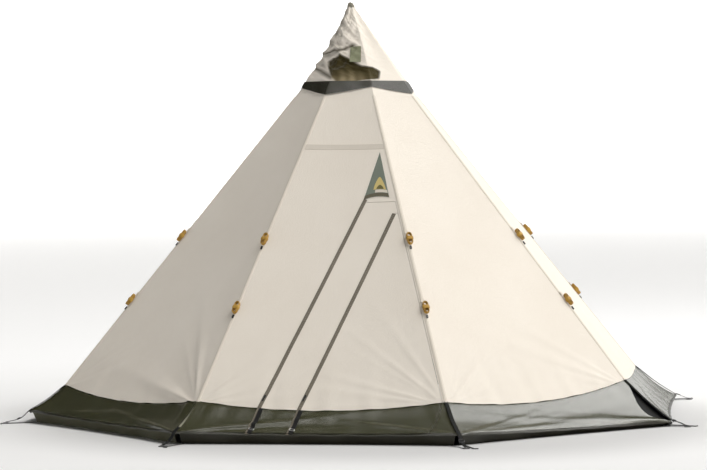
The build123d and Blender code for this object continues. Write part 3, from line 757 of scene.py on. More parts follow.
def skirt_piece(node, side, body, left, right, columns):
    """A skirt piece between two lines, each given as share(down)."""
    down = np.linspace(-0.06, 1.0, 36)[:, None]
    share = left(down) + (right(down) - left(down)) * np.linspace(0, 1, columns)[None, :]
    points, faces = join_grids([on_skirt(side, share, down)])
    uv = np.stack(np.broadcast_arrays(share * hem_width, down * SKIRT_SLOPE), axis=2).reshape(-1, 2)
    piece = make_piece(f"{node}_cloth", points, faces, olive, BELOW, uv)
    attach(piece, body)
    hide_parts(node)
    return piece


def corner_line(side, end):
    """A skirt sheet's edge at one of its corners, drawn back by the V, as share(down)."""
    if end == 0:
        return lambda down: gap_share(GAP_RIGHT[side], down)
    return lambda down: 1 - gap_share(GAP_LEFT[(side + 1) % SIDES], down)


def run_line(line, hem_x, shift=0.0):
    """A line from where a zip or hinge line meets the join to hem_x at the hem, as share(down)."""
    top_z = meet_join(0, beside_line(line))
    top = (line[0] + line[1] * top_z + shift) / side_width(top_z) + 0.5
    low = (hem_x + shift) / hem_width + 0.5
    return lambda down: top + (low - top) * down


HEM_RUN = 0.34
PLEAT_WIDE = 0.190
left_hem_x = left_zip[0] + left_zip[1] * join_z - HEM_RUN * (join_z - hem_z)
right_hem_x = right_zip[0] + right_zip[1] * join_z - HEM_RUN * (join_z - hem_z)
leaf_hem_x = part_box("entrance_corner_skirt")[1][0] - PLEAT_WIDE
skirt_cut = {
    "entrance_side_skirt": ("tent", corner_line(0, 0), run_line(left_zip, left_hem_x, -CUT), 44),
    "net_door_skirt": (
        "net_door", run_line(left_zip, left_hem_x, CUT), run_line(right_zip, right_hem_x, -CUT), 24
    ),
    "door_leaf_skirt": (
        "door_leaf",
        run_line(right_zip, right_hem_x, CUT),
        run_line(hinge_line, leaf_hem_x, -2 * CUT),
        80,
    ),
    "entrance_corner_skirt": ("tent", run_line(hinge_line, leaf_hem_x), corner_line(0, 1), 12),
}
for node, (body, left, right, columns) in skirt_cut.items():
    skirt_piece(node, 0, body, left, right, columns)
for side, place in enumerate(places):
    if side > 0:
        skirt_piece(f"skirt_{place}", side, "tent", corner_line(side, 0), corner_line(side, 1), 120)
print("skirt", round(hem_width, 2), "m along the hem of a side, door pleat", PLEAT_WIDE)

# %% [markdown]
# Small closed things (straps, tapes, bindings) are all one construction: a flat outline carried
# along a path, with a direction across and a direction outward at each point of it.

# %% Carried outlines
def steps_along(line):
    """Distance along a line of points, from its start to each of them."""
    return np.concatenate([[0], np.cumsum(np.linalg.norm(np.diff(line, axis=0), axis=1))])


def carry(path, across, outward, outline):
    """Points path + across * a + outward * b for every (a, b) of a closed outline, ends included."""
    sideways = across[:, None, :] * outline[None, :, :1]
    return path[:, None, :] + sideways + outward[:, None, :] * outline[None, :, 1:]


def carried_piece(name, runs, material, outline, closed=False):
    """One mesh of one or more carried outlines, each (path, across, outward). An open run is capped at
    both ends; a closed one comes back to its start."""
    points, faces, caps, uvs, start = [], [], [], [], 0
    count = len(outline)
    around = steps_along(outline)
    for path, across, outward in runs:
        flat = carry(path, across, outward, outline).reshape(-1, 3)
        quads = grid_faces(len(path), count, closed_rows=closed, closed_columns=True)
        inside_out = enclosed(flat - flat.mean(0), quads) < 0
        quads = quads[:, ::-1] if inside_out else quads
        if not closed:
            first = start + np.arange(count)
            last = first + (len(path) - 1) * count
            ends = (first, last[::-1]) if inside_out else (first[::-1], last)
            caps += [end.tolist() for end in ends]
        along = steps_along(path)
        uvs.append(np.stack(np.broadcast_arrays(around[None, :], along[:, None]), axis=2).reshape(-1, 2))
        points.append(flat)
        faces.append(quads + start)
        start += len(flat)
    return mesh_object(
        name, np.concatenate(points), np.concatenate(faces).tolist() + caps, material, np.concatenate(uvs)
    )


def flat_outline(low, high, thickness, base=0.0):
    """A rectangle from low to high across, standing on base, with its corners eased."""
    ease = thickness * 0.35
    return np.array(
        [
            (low, base),
            (low, base + thickness - ease),
            (low + ease, base + thickness),
            (high - ease, base + thickness),
            (high, base + thickness - ease),
            (high, base),
        ]
    )


def unit(vectors):
    """Vectors scaled to length one."""
    return vectors / np.linalg.norm(vectors, axis=-1, keepdims=True)


def directions(path, outward):
    """Across and outward directions for a path: across is along x outward, and outward is squared up."""
    along = unit(np.gradient(path, axis=0))
    across = unit(np.cross(along, outward))
    return across, unit(np.cross(across, along))


OUT_FRONT = np.array([0.0, -OUT_LEVEL, OUT_Z])


def front_directions(path):
    """Directions along a path on the entrance side, whose outward direction is the same all over."""
    return directions(path, np.broadcast_to(OUT_FRONT, path.shape))

# %% [markdown]
# A coil zip is two woven tapes whose facing edges carry the teeth. Each half belongs to the cloth it
# is sewn to, so that the tapes part when the door opens; together they read as one dark line, some
# 24 mm wide, that runs from the head of the door over the join and down to the hem.

# %% Zip tapes
TAPE_WIDTH = 0.0120
tape_tops = {"left": strip_top - 0.002, "right": leaf_top - 0.002}


def zip_path(line, skirt_line, top):
    """Points down a zip: along the canvas, then along the skirt."""
    line_x = beside_line(line)
    z = np.linspace(top, meet_join(0, line_x) + 0.003, 110)
    canvas_run = on_canvas(0, line_x(z), z, 0.0012)
    down = np.linspace(0.04, 0.985, 26)
    return np.concatenate([canvas_run, on_skirt(0, skirt_line(down), down, 0.0016)])


def tape_outline(sign):
    """Half a zip across: flat tape, then the raised half coil at the middle."""
    steps = [
        (0.0006, 0.0),
        (0.0006, 0.0026),
        (0.0018, 0.0030),
        (0.0032, 0.0024),
        (0.0040, 0.0010),
        (TAPE_WIDTH - 0.0004, 0.0010),
        (TAPE_WIDTH, 0.0006),
        (TAPE_WIDTH, 0.0),
    ]
    return np.array([(sign * a, b) for a, b in steps])


zip_halves = {
    "left": (left_zip, left_hem_x, {"left_zip_outer_tape": "tent", "left_zip_inner_tape": "net_door"}),
    "right": (
        right_zip, right_hem_x, {"right_zip_inner_tape": "net_door", "right_zip_outer_tape": "door_leaf"}
    ),
}
for name, (line, hem_x, halves) in zip_halves.items():
    path = zip_path(line, run_line(line, hem_x), tape_tops[name])
    across, squared = front_directions(path)
    facing = 1 if across[0][0] > 0 else -1
    for (node, body), sign in zip(halves.items(), (-1, 1)):
        tape = carried_piece(
            f"{node}_woven", [(path, across, squared)], zip_tape_cloth, tape_outline(sign * facing)
        )
        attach(tape, body)
        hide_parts(node)
    print(name, "zip", round(steps_along(path)[-1], 2), "m long")

# %% [markdown]
# The left zip's tape runs on above the door, up to the patch, so that the end of the zip has sound
# cloth round it. This end piece is sewn to the head panel and stays still when the door opens.

# %% Head of the left zip
HEAD_TAPE_LONG = 0.018
head_z = np.linspace(strip_top + HEAD_TAPE_LONG, strip_top - 0.001, 12)
head_path = on_canvas(0, left_zip[0] + left_zip[1] * head_z, head_z, 0.0012)
head_outline = np.concatenate([tape_outline(-1)[::-1], tape_outline(1)])
head_run = (head_path, *front_directions(head_path))
head_tape = carried_piece("left_zip_head_tape", [head_run], zip_tape_cloth, head_outline)
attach(head_tape, "tent")
print("head tape", HEAD_TAPE_LONG, "m above the strip")

# %% [markdown]
# At the foot of each zip a short strap takes the strain of the closed door. It hangs over the skirt beside
# the zip and ends in a pressed metal buckle, a rounded frame.

# %% Zip foot straps
FOOT_STRAP_HALF = 0.013


def ring_path(centre, across, along, half_wide, half_tall, count=28):
    """A rounded rectangle round a centre: a superellipse of power four."""
    turn = np.linspace(0, 2 * math.pi, count, endpoint=False)[:, None]
    a = half_wide * np.sign(np.cos(turn)) * np.abs(np.cos(turn)) ** 0.5
    b = half_tall * np.sign(np.sin(turn)) * np.abs(np.sin(turn)) ** 0.5
    return centre + across * a + along * b, unit(across * a + along * b)


wire = np.linspace(0, 2 * math.pi, 8, endpoint=False)
wire_outline = 0.0020 * np.stack([np.cos(wire), np.sin(wire)], axis=1)
for name, (line, hem_x, halves) in zip_halves.items():
    body = list(halves.values())[1]
    skirt_line = run_line(line, hem_x, 0.014)
    down = np.linspace(0.01, 0.96, 24)
    path = on_skirt(0, skirt_line(down), down, 0.0045)
    across, squared = front_directions(path)
    strap = carried_piece(
        f"{name}_zip_foot_strap",
        [(path, across, squared)],
        webbing,
        flat_outline(-FOOT_STRAP_HALF, FOOT_STRAP_HALF, 0.0016),
    )
    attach(strap, body)
    along = unit(path[-4] - path[-6])
    frame_path, frame_out = ring_path(path[-5] + squared[-5] * 0.004, across[-5], along, 0.015, 0.008)
    buckle = carried_piece(
        f"{name}_zip_foot_buckle",
        [(frame_path, np.broadcast_to(squared[-1], frame_path.shape), frame_out)],
        bright_steel,
        wire_outline,
        closed=True,
    )
    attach(buckle, body)
print("foot straps", len(zip_halves), "each", 2 * FOOT_STRAP_HALF, "m wide")

# %% [markdown]
# A level band crosses the entrance side below the crown, where the cloth of the upper panel laps over
# the lower one. Three layers lie there, so less light comes through and the band looks a little
# darker than the cloth round it. It is drawn as a flat band raised a millimetre and a half.

# %% Crown lap
LAP_HALF = 0.020
lap_x = np.linspace(-1, 1, 60) * (side_width(crown_seam_z) / 2 - SEAM_HALF)
lap_path = on_canvas(0, lap_x, np.full_like(lap_x, crown_seam_z), 0.0002)
lap_run = (lap_path, *front_directions(lap_path))
lap_outline = flat_outline(-LAP_HALF, LAP_HALF, 0.0016)
crown_lap = carried_piece("crown_level_seams", [lap_run], lap_cloth, lap_outline)
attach(crown_lap, "tent")
print("crown lap at", round(crown_seam_z, 3), "m,", 2 * LAP_HALF, "wide")

# %% [markdown]
# The hem of the skirt is bound in dark cloth, turned over the edge. It is cut where the door pieces
# are cut, so each length of binding moves with its own cloth.

# %% Hem binding
BINDING_TALL = 0.016


def hem_run(side, left, right, count):
    """Path, across and outward directions along the hem between two shares."""
    share = left + (right - left) * np.linspace(0, 1, count)
    path = on_skirt(side, share, 1.0)
    above = on_skirt(side, share, 1.0 - BINDING_TALL / SKIRT_SLOPE)
    up_slope = unit(above - path)
    along = unit(np.gradient(path, axis=0))
    outward = unit(np.cross(along, up_slope))
    outward = outward * np.sign((outward * path * np.array([1, 1, 0])).sum(1, keepdims=True))
    return path, up_slope, outward


binding_outline = np.array(
    [
        (-0.002, -0.0016),
        (-0.0035, 0.0),
        (-0.002, 0.0018),
        (0.003, 0.0024),
        (BINDING_TALL - 0.001, 0.0018),
        (BINDING_TALL, 0.0006),
        (BINDING_TALL, -0.0010),
        (BINDING_TALL - 0.001, -0.0016),
    ]
)
binding_runs = {"tent": [], "net_door": [], "door_leaf": []}
for node, (body, left, right, columns) in skirt_cut.items():
    binding_runs[body].append(hem_run(0, float(left(1.0)), float(right(1.0)), columns))
for side in range(1, SIDES):
    left, right = corner_line(side, 0), corner_line(side, 1)
    binding_runs["tent"].append(hem_run(side, float(left(1.0)), float(right(1.0)), 90))
for body, runs in binding_runs.items():
    binding = carried_piece(f"hem_binding_{body}", runs, dark_olive, binding_outline)
    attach(binding, body)
    print("binding on", body, "in", len(runs), "lengths")

# %% [markdown]
# Under the hem a mud flap hangs to the ground and turns in. It is loose, so it waves a little; on the real
# tent it is tucked under the groundsheet. Each side's flap is one sheet; the two front ones are of the
# darker cloth, as painted shade for the tent's own shadow.

# %% Ground flaps
FLAP_WAVE = 0.006
FLAP_TALL = 0.07
# The front flaps get the darker cloth as painted shade, for the tent's own shadow on them.
PAINTED_SHADE_SIDES = (0, 1)  # the front flaps, in the tent's own shade, are of the darker cloth


def flap_grid(side):
    """Rows from behind the hem to the ground and a little inward, columns from corner to corner."""
    share = np.linspace(0.012, 0.988, 100)[None, :]
    down = np.linspace(0, 1, 14)[:, None]
    hem_x, hem_y, low_z = hem_point(side, share)
    inward = 0.012 + 0.035 * down + FLAP_WAVE * down * np.sin(2 * np.pi * share * 5 + side * 2.3)
    y = hem_y - inward
    return turned(side, hem_x * y / hem_y, -y, (low_z + 0.012) * (1 - down) + 0.0006), share, down


for side, place in enumerate(places):
    grid, share, down = flap_grid(side)
    points, faces = join_grids([grid])
    uv = np.stack(np.broadcast_arrays(share * hem_width, down * FLAP_TALL), axis=2).reshape(-1, 2)
    cloth = dark_olive if side in PAINTED_SHADE_SIDES else flap_cloth
    flap = make_piece(f"ground_flap_{place}", points, faces, cloth, (0, 0, 0.2), uv)
    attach(flap, "tent")
    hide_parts("ground_flaps")
print("ground flaps", len(places))

# %% [markdown]
# Where two sides meet, the canvas is flat felled: both edges are folded into each other and sewn down
# twice. The fold stands a little proud of the cloth, so each seam is a strip bent over the ridge.

# %% Seams
RIDGE_FALL = 0.318
seam_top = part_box("seam_webbing")[1][2]


def corner_angle(corner):
    """Azimuth of a corner, from the front towards +X."""
    return (corner - 0.5) * 2 * HALF


def on_ridge(corner, z):
    """The point of a ridge at height z."""
    angle = corner_angle(corner)
    radius = apothem(z) / math.cos(HALF)
    return np.stack([radius * math.sin(angle), -radius * math.cos(angle), z], axis=-1)


def ridge_frame(corner, path):
    """Across and outward directions along a path that goes up or down near a ridge."""
    angle = corner_angle(corner)
    level_out = np.array([math.sin(angle), -math.cos(angle), 0.6])
    return directions(path, np.broadcast_to(level_out, path.shape))


seam_outline = np.array(
    [
        (-SEAM_HALF, -SEAM_HALF * RIDGE_FALL - 0.0015),
        (-SEAM_HALF, -SEAM_HALF * RIDGE_FALL + 0.0018),
        (-SEAM_HALF * 0.82, -SEAM_HALF * 0.82 * RIDGE_FALL + 0.0030),
        (-0.003, -0.001 + 0.0026),
        (0.0, 0.0026),
        (0.003, -0.001 + 0.0026),
        (SEAM_HALF * 0.82, -SEAM_HALF * 0.82 * RIDGE_FALL + 0.0030),
        (SEAM_HALF, -SEAM_HALF * RIDGE_FALL + 0.0018),
        (SEAM_HALF, -SEAM_HALF * RIDGE_FALL - 0.0015),
    ]
)
seam_runs = []
for corner in range(SIDES):
    z = np.linspace(join_z + JOIN_RISE + CORNER_RISE[corner] - 0.004, seam_top, 120)
    path = on_ridge(corner, z)
    seam_runs.append((path, *ridge_frame(corner, path)))
seams = carried_piece("felled_seams", seam_runs, seam_cloth, seam_outline)
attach(seams, "tent")
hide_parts("seam_webbing")
print("seams", len(seam_runs), "up to", round(seam_top, 3), "m")

# %% [markdown]
# At every corner a webbing strap is sewn into the seam at the join. It runs down the ridge of the skirt,
# over the gusset, which is painted black as shade, and on to the peg ring, where the peg's pull reaches the
# cloth.

# %% Corner straps and gussets
STRAP_HALF = 0.0115
STRAP_THICK = 0.0018
STRAP_START = (0.80, -0.12, -0.02, -0.02, -0.02, -0.02, -0.02, -0.02)  # share down the skirt, by corner
RING_EDGE = 0.022  # from a peg ring's middle to its outer edge
GUSSET_LAP = 0.008  # the gusset reaches this share under each sheet
ring_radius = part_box("peg_rings")[1][0] / math.cos(HALF) - RING_EDGE
strap_outline = flat_outline(-STRAP_HALF, STRAP_HALF, STRAP_THICK)


def level_point(corner, radius, z):
    """A point out from the pole towards a corner, at height z."""
    angle = corner_angle(corner)
    return np.array([radius * math.sin(angle), -radius * math.cos(angle), z])


def smooth_path(knots, count):
    """A soft line through knots: straight runs, then the corners cut four times, then even steps."""
    line = np.array(knots, float)
    for _ in range(4):
        cut = np.empty((2 * len(line) - 2, 3))
        cut[0::2] = 0.75 * line[:-1] + 0.25 * line[1:]
        cut[1::2] = 0.25 * line[:-1] + 0.75 * line[1:]
        line = np.concatenate([line[:1], cut, line[-1:]])
    steps = steps_along(line)
    even = np.linspace(0, steps[-1], count)
    return np.stack([np.interp(even, steps, line[:, k]) for k in range(3)], axis=1)


strap_runs = []
buckle_runs = []
for corner in range(SIDES):
    down = np.linspace(STRAP_START[corner], 0.97, 9)
    ridge = on_skirt(corner, 0.0, down, 0.002)
    hem_radius = np.hypot(ridge[-1, 0], ridge[-1, 1])
    tail = [
        level_point(corner, hem_radius + 0.05, 0.026),
        level_point(corner, ring_radius - 0.02, 0.010),
        level_point(corner, ring_radius, 0.0085),
    ]
    path = smooth_path(list(ridge) + tail, 70)
    strap_across, strap_out = ridge_frame(corner, path)
    strap_runs.append((path, strap_across, strap_out))
    at = int(0.80 * len(path))
    along = unit(path[at + 1] - path[at - 1])
    frame_path, frame_out = ring_path(
        path[at] + strap_out[at] * 0.003, strap_across[at], along, 0.017, 0.012
    )
    buckle_runs.append((frame_path, np.broadcast_to(strap_out[at], frame_path.shape), frame_out))
strap_buckles = carried_piece("strap_buckle_frames", buckle_runs, plastic, wire_outline * 1.4, closed=True)
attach(strap_buckles, "tent")
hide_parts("strap_buckles")
straps = carried_piece("corner_webbing", strap_runs, webbing, strap_outline)
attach(straps, "tent")
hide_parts("corner_straps")
for corner in range(SIDES):
    down = np.linspace(-0.02, 1.0, 30)[:, None]
    spread = np.linspace(-1, 1, 13)[None, :]
    left_reach = gap_share(GAP_LEFT[corner], down) * 1.15 + GUSSET_LAP
    right_reach = gap_share(GAP_RIGHT[corner], down) * 1.15 + GUSSET_LAP
    left_half = on_skirt((corner - 1) % SIDES, 1 + np.minimum(spread, 0) * left_reach, down, -0.008)
    right_half = on_skirt(corner, np.maximum(spread, 0) * right_reach, down, -0.008)
    fold = -0.010 * np.clip(down, 0, 1) * (1 - spread**2)
    grid = np.where((spread < 0)[..., None], left_half, right_half)
    grid = grid + fold[..., None] * level_point(corner, 1.0, 0.8)
    points, faces = join_grids([grid])
    uv = np.stack(np.broadcast_arrays(spread * 0.05, down * SKIRT_SLOPE), axis=2).reshape(-1, 2)
    # The gussets are painted shade, black in the gap between the sheets, except the one left of the door,
    # which is pale as a painted highlight.
    gusset_painted_tone = painted_highlight_lining if corner == 0 else webbing
    gusset = make_piece(f"corner_gusset_{corner}", points, faces, gusset_painted_tone, BELOW, uv)
    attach(gusset, "tent")
print("corner straps", len(strap_runs), "to rings at", round(ring_radius, 3), "m")

# %% [markdown]
# Sixteen guy lines hang on the seams, two to a corner, each still hanked as it was packed: the cord
# is wound as a long ring, layer over layer, and a band keeps it together. On the real tent they are
# unrolled and pegged out only in wind. A wound hank is a racetrack curve: two straights joined by
# half circles, six turns outward on the wide track and six back on the narrow one.

# %% Guy lines
CORD_DIAMETER = 0.003
TRACKS = (0.0158, 0.0122)
STRAIGHT = 0.054
TURNS = 6.2
TURN_POINTS = 22
PITCH = 0.0031
HANK_DROP = 0.030
HANK_SIDESTEP = 0.008
GUY_HEIGHTS = (1.186, 0.777)  # the guy-out points, up every seam


def racetrack(turn, radius):
    """Position across and down a racetrack after a number of turns: perimeter 2 S + 2 pi R."""
    run = (turn % 1.0) * (2 * STRAIGHT + 2 * math.pi * radius)
    if run < STRAIGHT:
        return radius, run - STRAIGHT / 2
    if run < STRAIGHT + math.pi * radius:
        t = (run - STRAIGHT) / radius
        return radius * math.cos(t), STRAIGHT / 2 + radius * math.sin(t)
    if run < 2 * STRAIGHT + math.pi * radius:
        return -radius, STRAIGHT / 2 - (run - STRAIGHT - math.pi * radius)
    t = (run - 2 * STRAIGHT - math.pi * radius) / radius
    return -radius * math.cos(t), -STRAIGHT / 2 - radius * math.sin(t)


def hank_points(seed):
    """A hank in its own frame (across, down, outward): two tracks, each a slow helix of turns."""
    shake = np.random.default_rng(seed)
    sway = shake.uniform(-0.0007, 0.0007, 64)
    points = []
    steps = int(TURNS * TURN_POINTS)
    for track, radius in enumerate(TRACKS):
        for step in range(steps + 1):
            turn = step / TURN_POINTS
            a, b = racetrack(turn + (0 if track == 0 else TURNS % 1.0), radius)
            layer = turn if track == 0 else TURNS - turn
            points.append((a + sway[int(layer) * 2], b + sway[int(layer) * 2 + 1], layer * PITCH + 0.0016))
    return np.array(points)


def cord_curve(name, points, diameter, material):
    """A round cord along points, as one smooth spline."""
    curve = bpy.data.curves.new(name, "CURVE")
    curve.dimensions = "3D"
    spline = curve.splines.new("NURBS")
    spline.points.add(len(points) - 1)
    spline.points.foreach_set("co", np.c_[points, np.ones(len(points))].astype(np.float32).ravel())
    spline.order_u = 3
    spline.use_endpoint_u = True
    curve.bevel_depth = diameter / 2
    curve.bevel_resolution = 3
    curve.resolution_u = 2
    curve.use_fill_caps = True
    cord = bpy.data.objects.new(name, curve)
    curve.materials.append(material)
    bpy.context.collection.objects.link(cord)
    return cord


TIE_HALF, TIE_THICK = 0.013, 0.0042
tie_outline = np.array(
    [
        (-TIE_HALF, 0.0),
        (-0.012, 0.002),
        (-0.004, TIE_THICK),
        (0.004, TIE_THICK),
        (0.012, 0.002),
        (TIE_HALF, 0.0),
    ]
)
tie_runs = []
for corner in range(SIDES):
    for level, height in enumerate(GUY_HEIGHTS):
        angle = corner_angle(corner)
        level_out = level_point(corner, 1.0, 0.0)
        across = np.array([math.cos(angle), math.sin(angle), 0.0])
        slope = unit(on_ridge(corner, np.array(height)) - on_ridge(corner, np.array(height + 0.1)))
        outward = np.cross(slope, across)
        outward = outward * np.sign(outward @ level_out)
        centre = on_ridge(corner, np.array(height)) + slope * (STRAIGHT / 2 + TRACKS[0] - HANK_DROP)
        centre = centre + outward * 0.0045 + across * HANK_SIDESTEP
        local = hank_points(corner * 2 + level)
        wound = centre + local[:, :1] * across + local[:, 1:2] * slope + local[:, 2:] * outward
        name = f"guy_line_{corner}_{level}"
        cord = cord_curve(name, wound, CORD_DIAMETER, guy_cord)
        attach(cord, "tent")
        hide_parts("guy_line_hanks")
        half_thick = TURNS * PITCH / 2
        middle = centre + outward * (half_thick + 0.0016)
        ring, ring_out = ring_path(middle, across, outward, TRACKS[0] + 0.0026, half_thick + 0.0022, 40)
        tie_runs.append((ring, np.broadcast_to(slope, ring.shape), ring_out))
ties = carried_piece("hank_ties", tie_runs, tie_cloth, tie_outline, closed=True)
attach(ties, "tent")
print("guy lines", len(GUY_HEIGHTS) * SIDES, "each about", round(steps_along(hank_points(0))[-1], 2), "m")

# %% [markdown]
# A three-cornered patch is sewn on above the door. It follows the canvas and stands two millimetres
# proud. A dark stripe runs along its curved lower edge; above that come a pale strip and a mound in
# gold thread, with a darker one inside it.

# %% Door head patch
PATCH_ARCH = 0.013  # the lower edge rises this much in its middle
patch_low, patch_high = (np.array(corner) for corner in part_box("door_head_patch"))
patch_tip = (patch_low[0] + 0.47 * (patch_high[0] - patch_low[0]), patch_high[2] - 0.002)
patch_left = (patch_low[0] - 0.006, patch_low[2] - 0.010)
patch_right = (patch_high[0], patch_low[2] + 0.002)


def patch_xz(across, up):
    """Triangle coordinates to (x, z): across from the left corner to the right, up to the tip."""
    base_x = patch_left[0] + (patch_right[0] - patch_left[0]) * across
    base_z = patch_left[1] + (patch_right[1] - patch_left[1]) * across
    base_z = base_z + PATCH_ARCH * 4 * across * (1 - across)
    return base_x + (patch_tip[0] - base_x) * up, base_z + (patch_tip[1] - base_z) * up


def patch_sheet(name, across, up, lift, material, replace=None):
    """A grid over part of the triangle, lifted off the canvas."""
    x, z = patch_xz(across, up)
    points, faces = join_grids([on_canvas(0, x, z, lift)])
    piece = make_piece(name, points, faces, material, (0, 0, 0.5), cloth_uv(x, z))
    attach(piece, "tent")
    if replace:
        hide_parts(replace)
    return piece


def patch_part(left, right, low, high, rows=6):
    """Shares (across, up) of a strip of the triangle between two shares each way."""
    return np.broadcast_arrays(np.linspace(left, right, 30)[None, :], np.linspace(low, high, rows)[:, None])


def mound(centre, half_wide, low, high):
    """Shares (across, up) of a rounded mound: half width w cos(pi t / 2)^0.6 at share t of its height."""
    t, s = np.broadcast_arrays(np.linspace(0, 0.985, 24)[:, None], np.linspace(-1, 1, 17)[None, :])
    return centre + half_wide * s * np.cos(np.pi * t / 2) ** 0.6, low + (high - low) * t


across, up = patch_part(0.0, 1.0, 0.0, 0.985, 40)
edge_drop = 0.0016 * (1 - np.clip(np.minimum(across, 1 - across) * 12, 0, 1))
patch_sheet("door_head_patch_cloth", across, up, 0.0022 - edge_drop, patch_cloth, "door_head_patch")
patch_sheet("door_head_patch_line", *patch_part(0.0, 1.0, 0.0, 0.080), 0.0036, stripe_cloth)
patch_sheet("door_head_patch_hem", *patch_part(0.42, 0.97, 0.086, 0.150), 0.0036, seam_cloth)
patch_sheet("door_head_patch_leaf", *mound(0.62, 0.29, 0.155, 0.430), 0.0038, gold_thread)
patch_sheet("door_head_patch_dot", *mound(0.64, 0.17, 0.160, 0.250), 0.0052, dark_gold)
print("patch from", np.round(patch_left, 3), "to", np.round(patch_tip, 3))

# %% [markdown]
# The vent cap is a small tent of its own, lifted on a rod through the crown. Its cloth is loose: the sunny
# side is pulled smooth, the other side is slack and crumpled, and a slot in the front opens into shade,
# which is painted dark on the cloth. Crumpling is a sum of sharp ridged waves 1 - |sin|, which is how a
# crease differs from a ripple, weighted by how slack the cloth is at that azimuth.

# %% Vent cap surface
cap_low, cap_high = (np.array(corner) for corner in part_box("vent_cap_facets"))
cap_radius = (cap_high[0] - cap_low[0]) / 2 / math.cos(HALF)
cap_base_z, cap_tip_z = cap_low[2], cap_high[2]
TIP_RADIUS = 0.016
CAP_LEAN = -0.036  # the cap's tip leans this far along X, so to the left
cap_waves = random.uniform(0.0, 1.0, (11, 4))
print("cap from", cap_low, "to", cap_high)


def cap_profile(t):
    """Corner radius and height from the lower edge (t = 0) to the tip (t = 1)."""
    z = cap_base_z + (cap_tip_z - cap_base_z) * t
    radius = cap_radius + (TIP_RADIUS - cap_radius) * t
    return radius - 0.010 * np.sin(np.pi * t), z


def slackness(angle):
    """1 on the cap's slack front left, 0 on its taut right; angle is from the front, to the right."""
    return np.exp(-((angle + 0.42) ** 2) / 0.55)


def octagon_at(angle):
    """Azimuth from the middle of its side, and the octagon's reach there as a share of its corner's."""
    local = (angle + HALF) % (2 * HALF) - HALF
    return local, math.cos(HALF) / np.cos(local)


def crumple(angle, t):
    """Ridged waves in the unrolled cloth."""
    s, h = angle * 0.22, t * 0.55
    total = 0
    for k, (direction, phase, weight, length) in enumerate(cap_waves):
        wave = 0.055 + 0.11 * length
        heading = math.pi * (0.32 + 0.36 * direction)
        run = (s * math.cos(heading) + h * math.sin(heading)) / wave + phase
        warp = 0.35 * np.sin(2 * np.pi * (s * 3.1 + h * 2.3 + phase))
        total = total + (0.3 + weight) * wave * (1 - np.abs(np.sin(np.pi * (run + warp)))) ** 1.6
    return total / len(cap_waves)


def on_cap(angle, t, lift=0.0):
    """The cap's point at an angle from the front (towards +X) and a share t of its height."""
    angle, t = np.broadcast_arrays(angle, t)
    radius, z = cap_profile(t)
    local, octagon = octagon_at(angle)
    slack = slackness(angle)
    fade = np.clip(t * 8, 0, 1) * np.clip((1 - t) * 6, 0, 1)
    off = (crumple(angle, t) - 0.02) * (0.12 + 0.88 * slack) * fade * 0.75 + lift
    off = np.maximum(off, -0.002 - 0.04 * t)
    hollow = np.clip(np.cos(local * 4), 0, 1) * np.sin(np.pi * np.clip(t, 0, 1))
    off = off - 0.010 * (1 - slack) ** 2 * hollow
    reach = radius * octagon + off
    x = reach * np.sin(angle) + CAP_LEAN * t**2
    return np.stack([x, -reach * np.cos(angle), z + off * 0.45], axis=-1)


# %% [markdown]
# The slack front of the cap has a slot, sunk in and painted dark as shade. Above it a torn edge runs off to
# the left, with a raised lip over it, and a fold lies low on the left; both get a painted shadow line. They
# are drawn on the unrolled cap, in degrees from the front and shares of the height, and then pressed into
# the surface.

# %% Slot, torn edge and fold
slot_outline = np.array(
    [
        (-23, 0.37),
        (-5, 0.30),
        (3, 0.26),
        (15, 0.20),
        (30, 0.186),
        (41, 0.136),
        (34, 0.03),
        (20, 0.02),
        (5, 0.0),
        (-17, 0.0),
        (-25, 0.076),
        (-41, 0.258),
    ]
)
torn_edge = np.array(
    [(-75, 0.32), (-60, 0.385), (-41, 0.42), (-30, 0.405), (-16, 0.414), (-11, 0.434), (1, 0.466)]
)
low_fold = np.array([(-72, 0.20), (-50, 0.146), (-32, 0.09), (-20, 0.048)])
DEGREE_SPAN = 0.0032  # a degree round the cap, as a share of its height, where the slot is


def near_line(line, a, b, half):
    """1 on a broken line, falling to 0 at half a width from it, in degrees and shares of the height."""
    nearest = np.full(np.shape(a), np.inf)
    for (a0, b0), (a1, b1) in zip(line[:-1], line[1:]):
        step = np.array([(a1 - a0) * DEGREE_SPAN, b1 - b0])
        offset_a, offset_b = (a - a0) * DEGREE_SPAN, b - b0
        along = np.clip((offset_a * step[0] + offset_b * step[1]) / (step @ step), 0, 1)
        distance = np.hypot(offset_a - along * step[0], offset_b - along * step[1])
        nearest = np.minimum(nearest, distance)
    return np.clip(1 - nearest / half, 0, 1)


def inside(outline, a, b):
    """Even-odd rule: how many outline edges a ray to the right crosses."""
    count = np.zeros(np.shape(a), int)
    for (a0, b0), (a1, b1) in zip(outline, np.roll(outline, -1, axis=0)):
        crosses = (b0 > b) != (b1 > b)
        with np.errstate(divide="ignore", invalid="ignore"):
            at = a0 + (b - b0) * (a1 - a0) / (b1 - b0)
        count += (crosses & (a < at)).astype(int)
    return count % 2 == 1


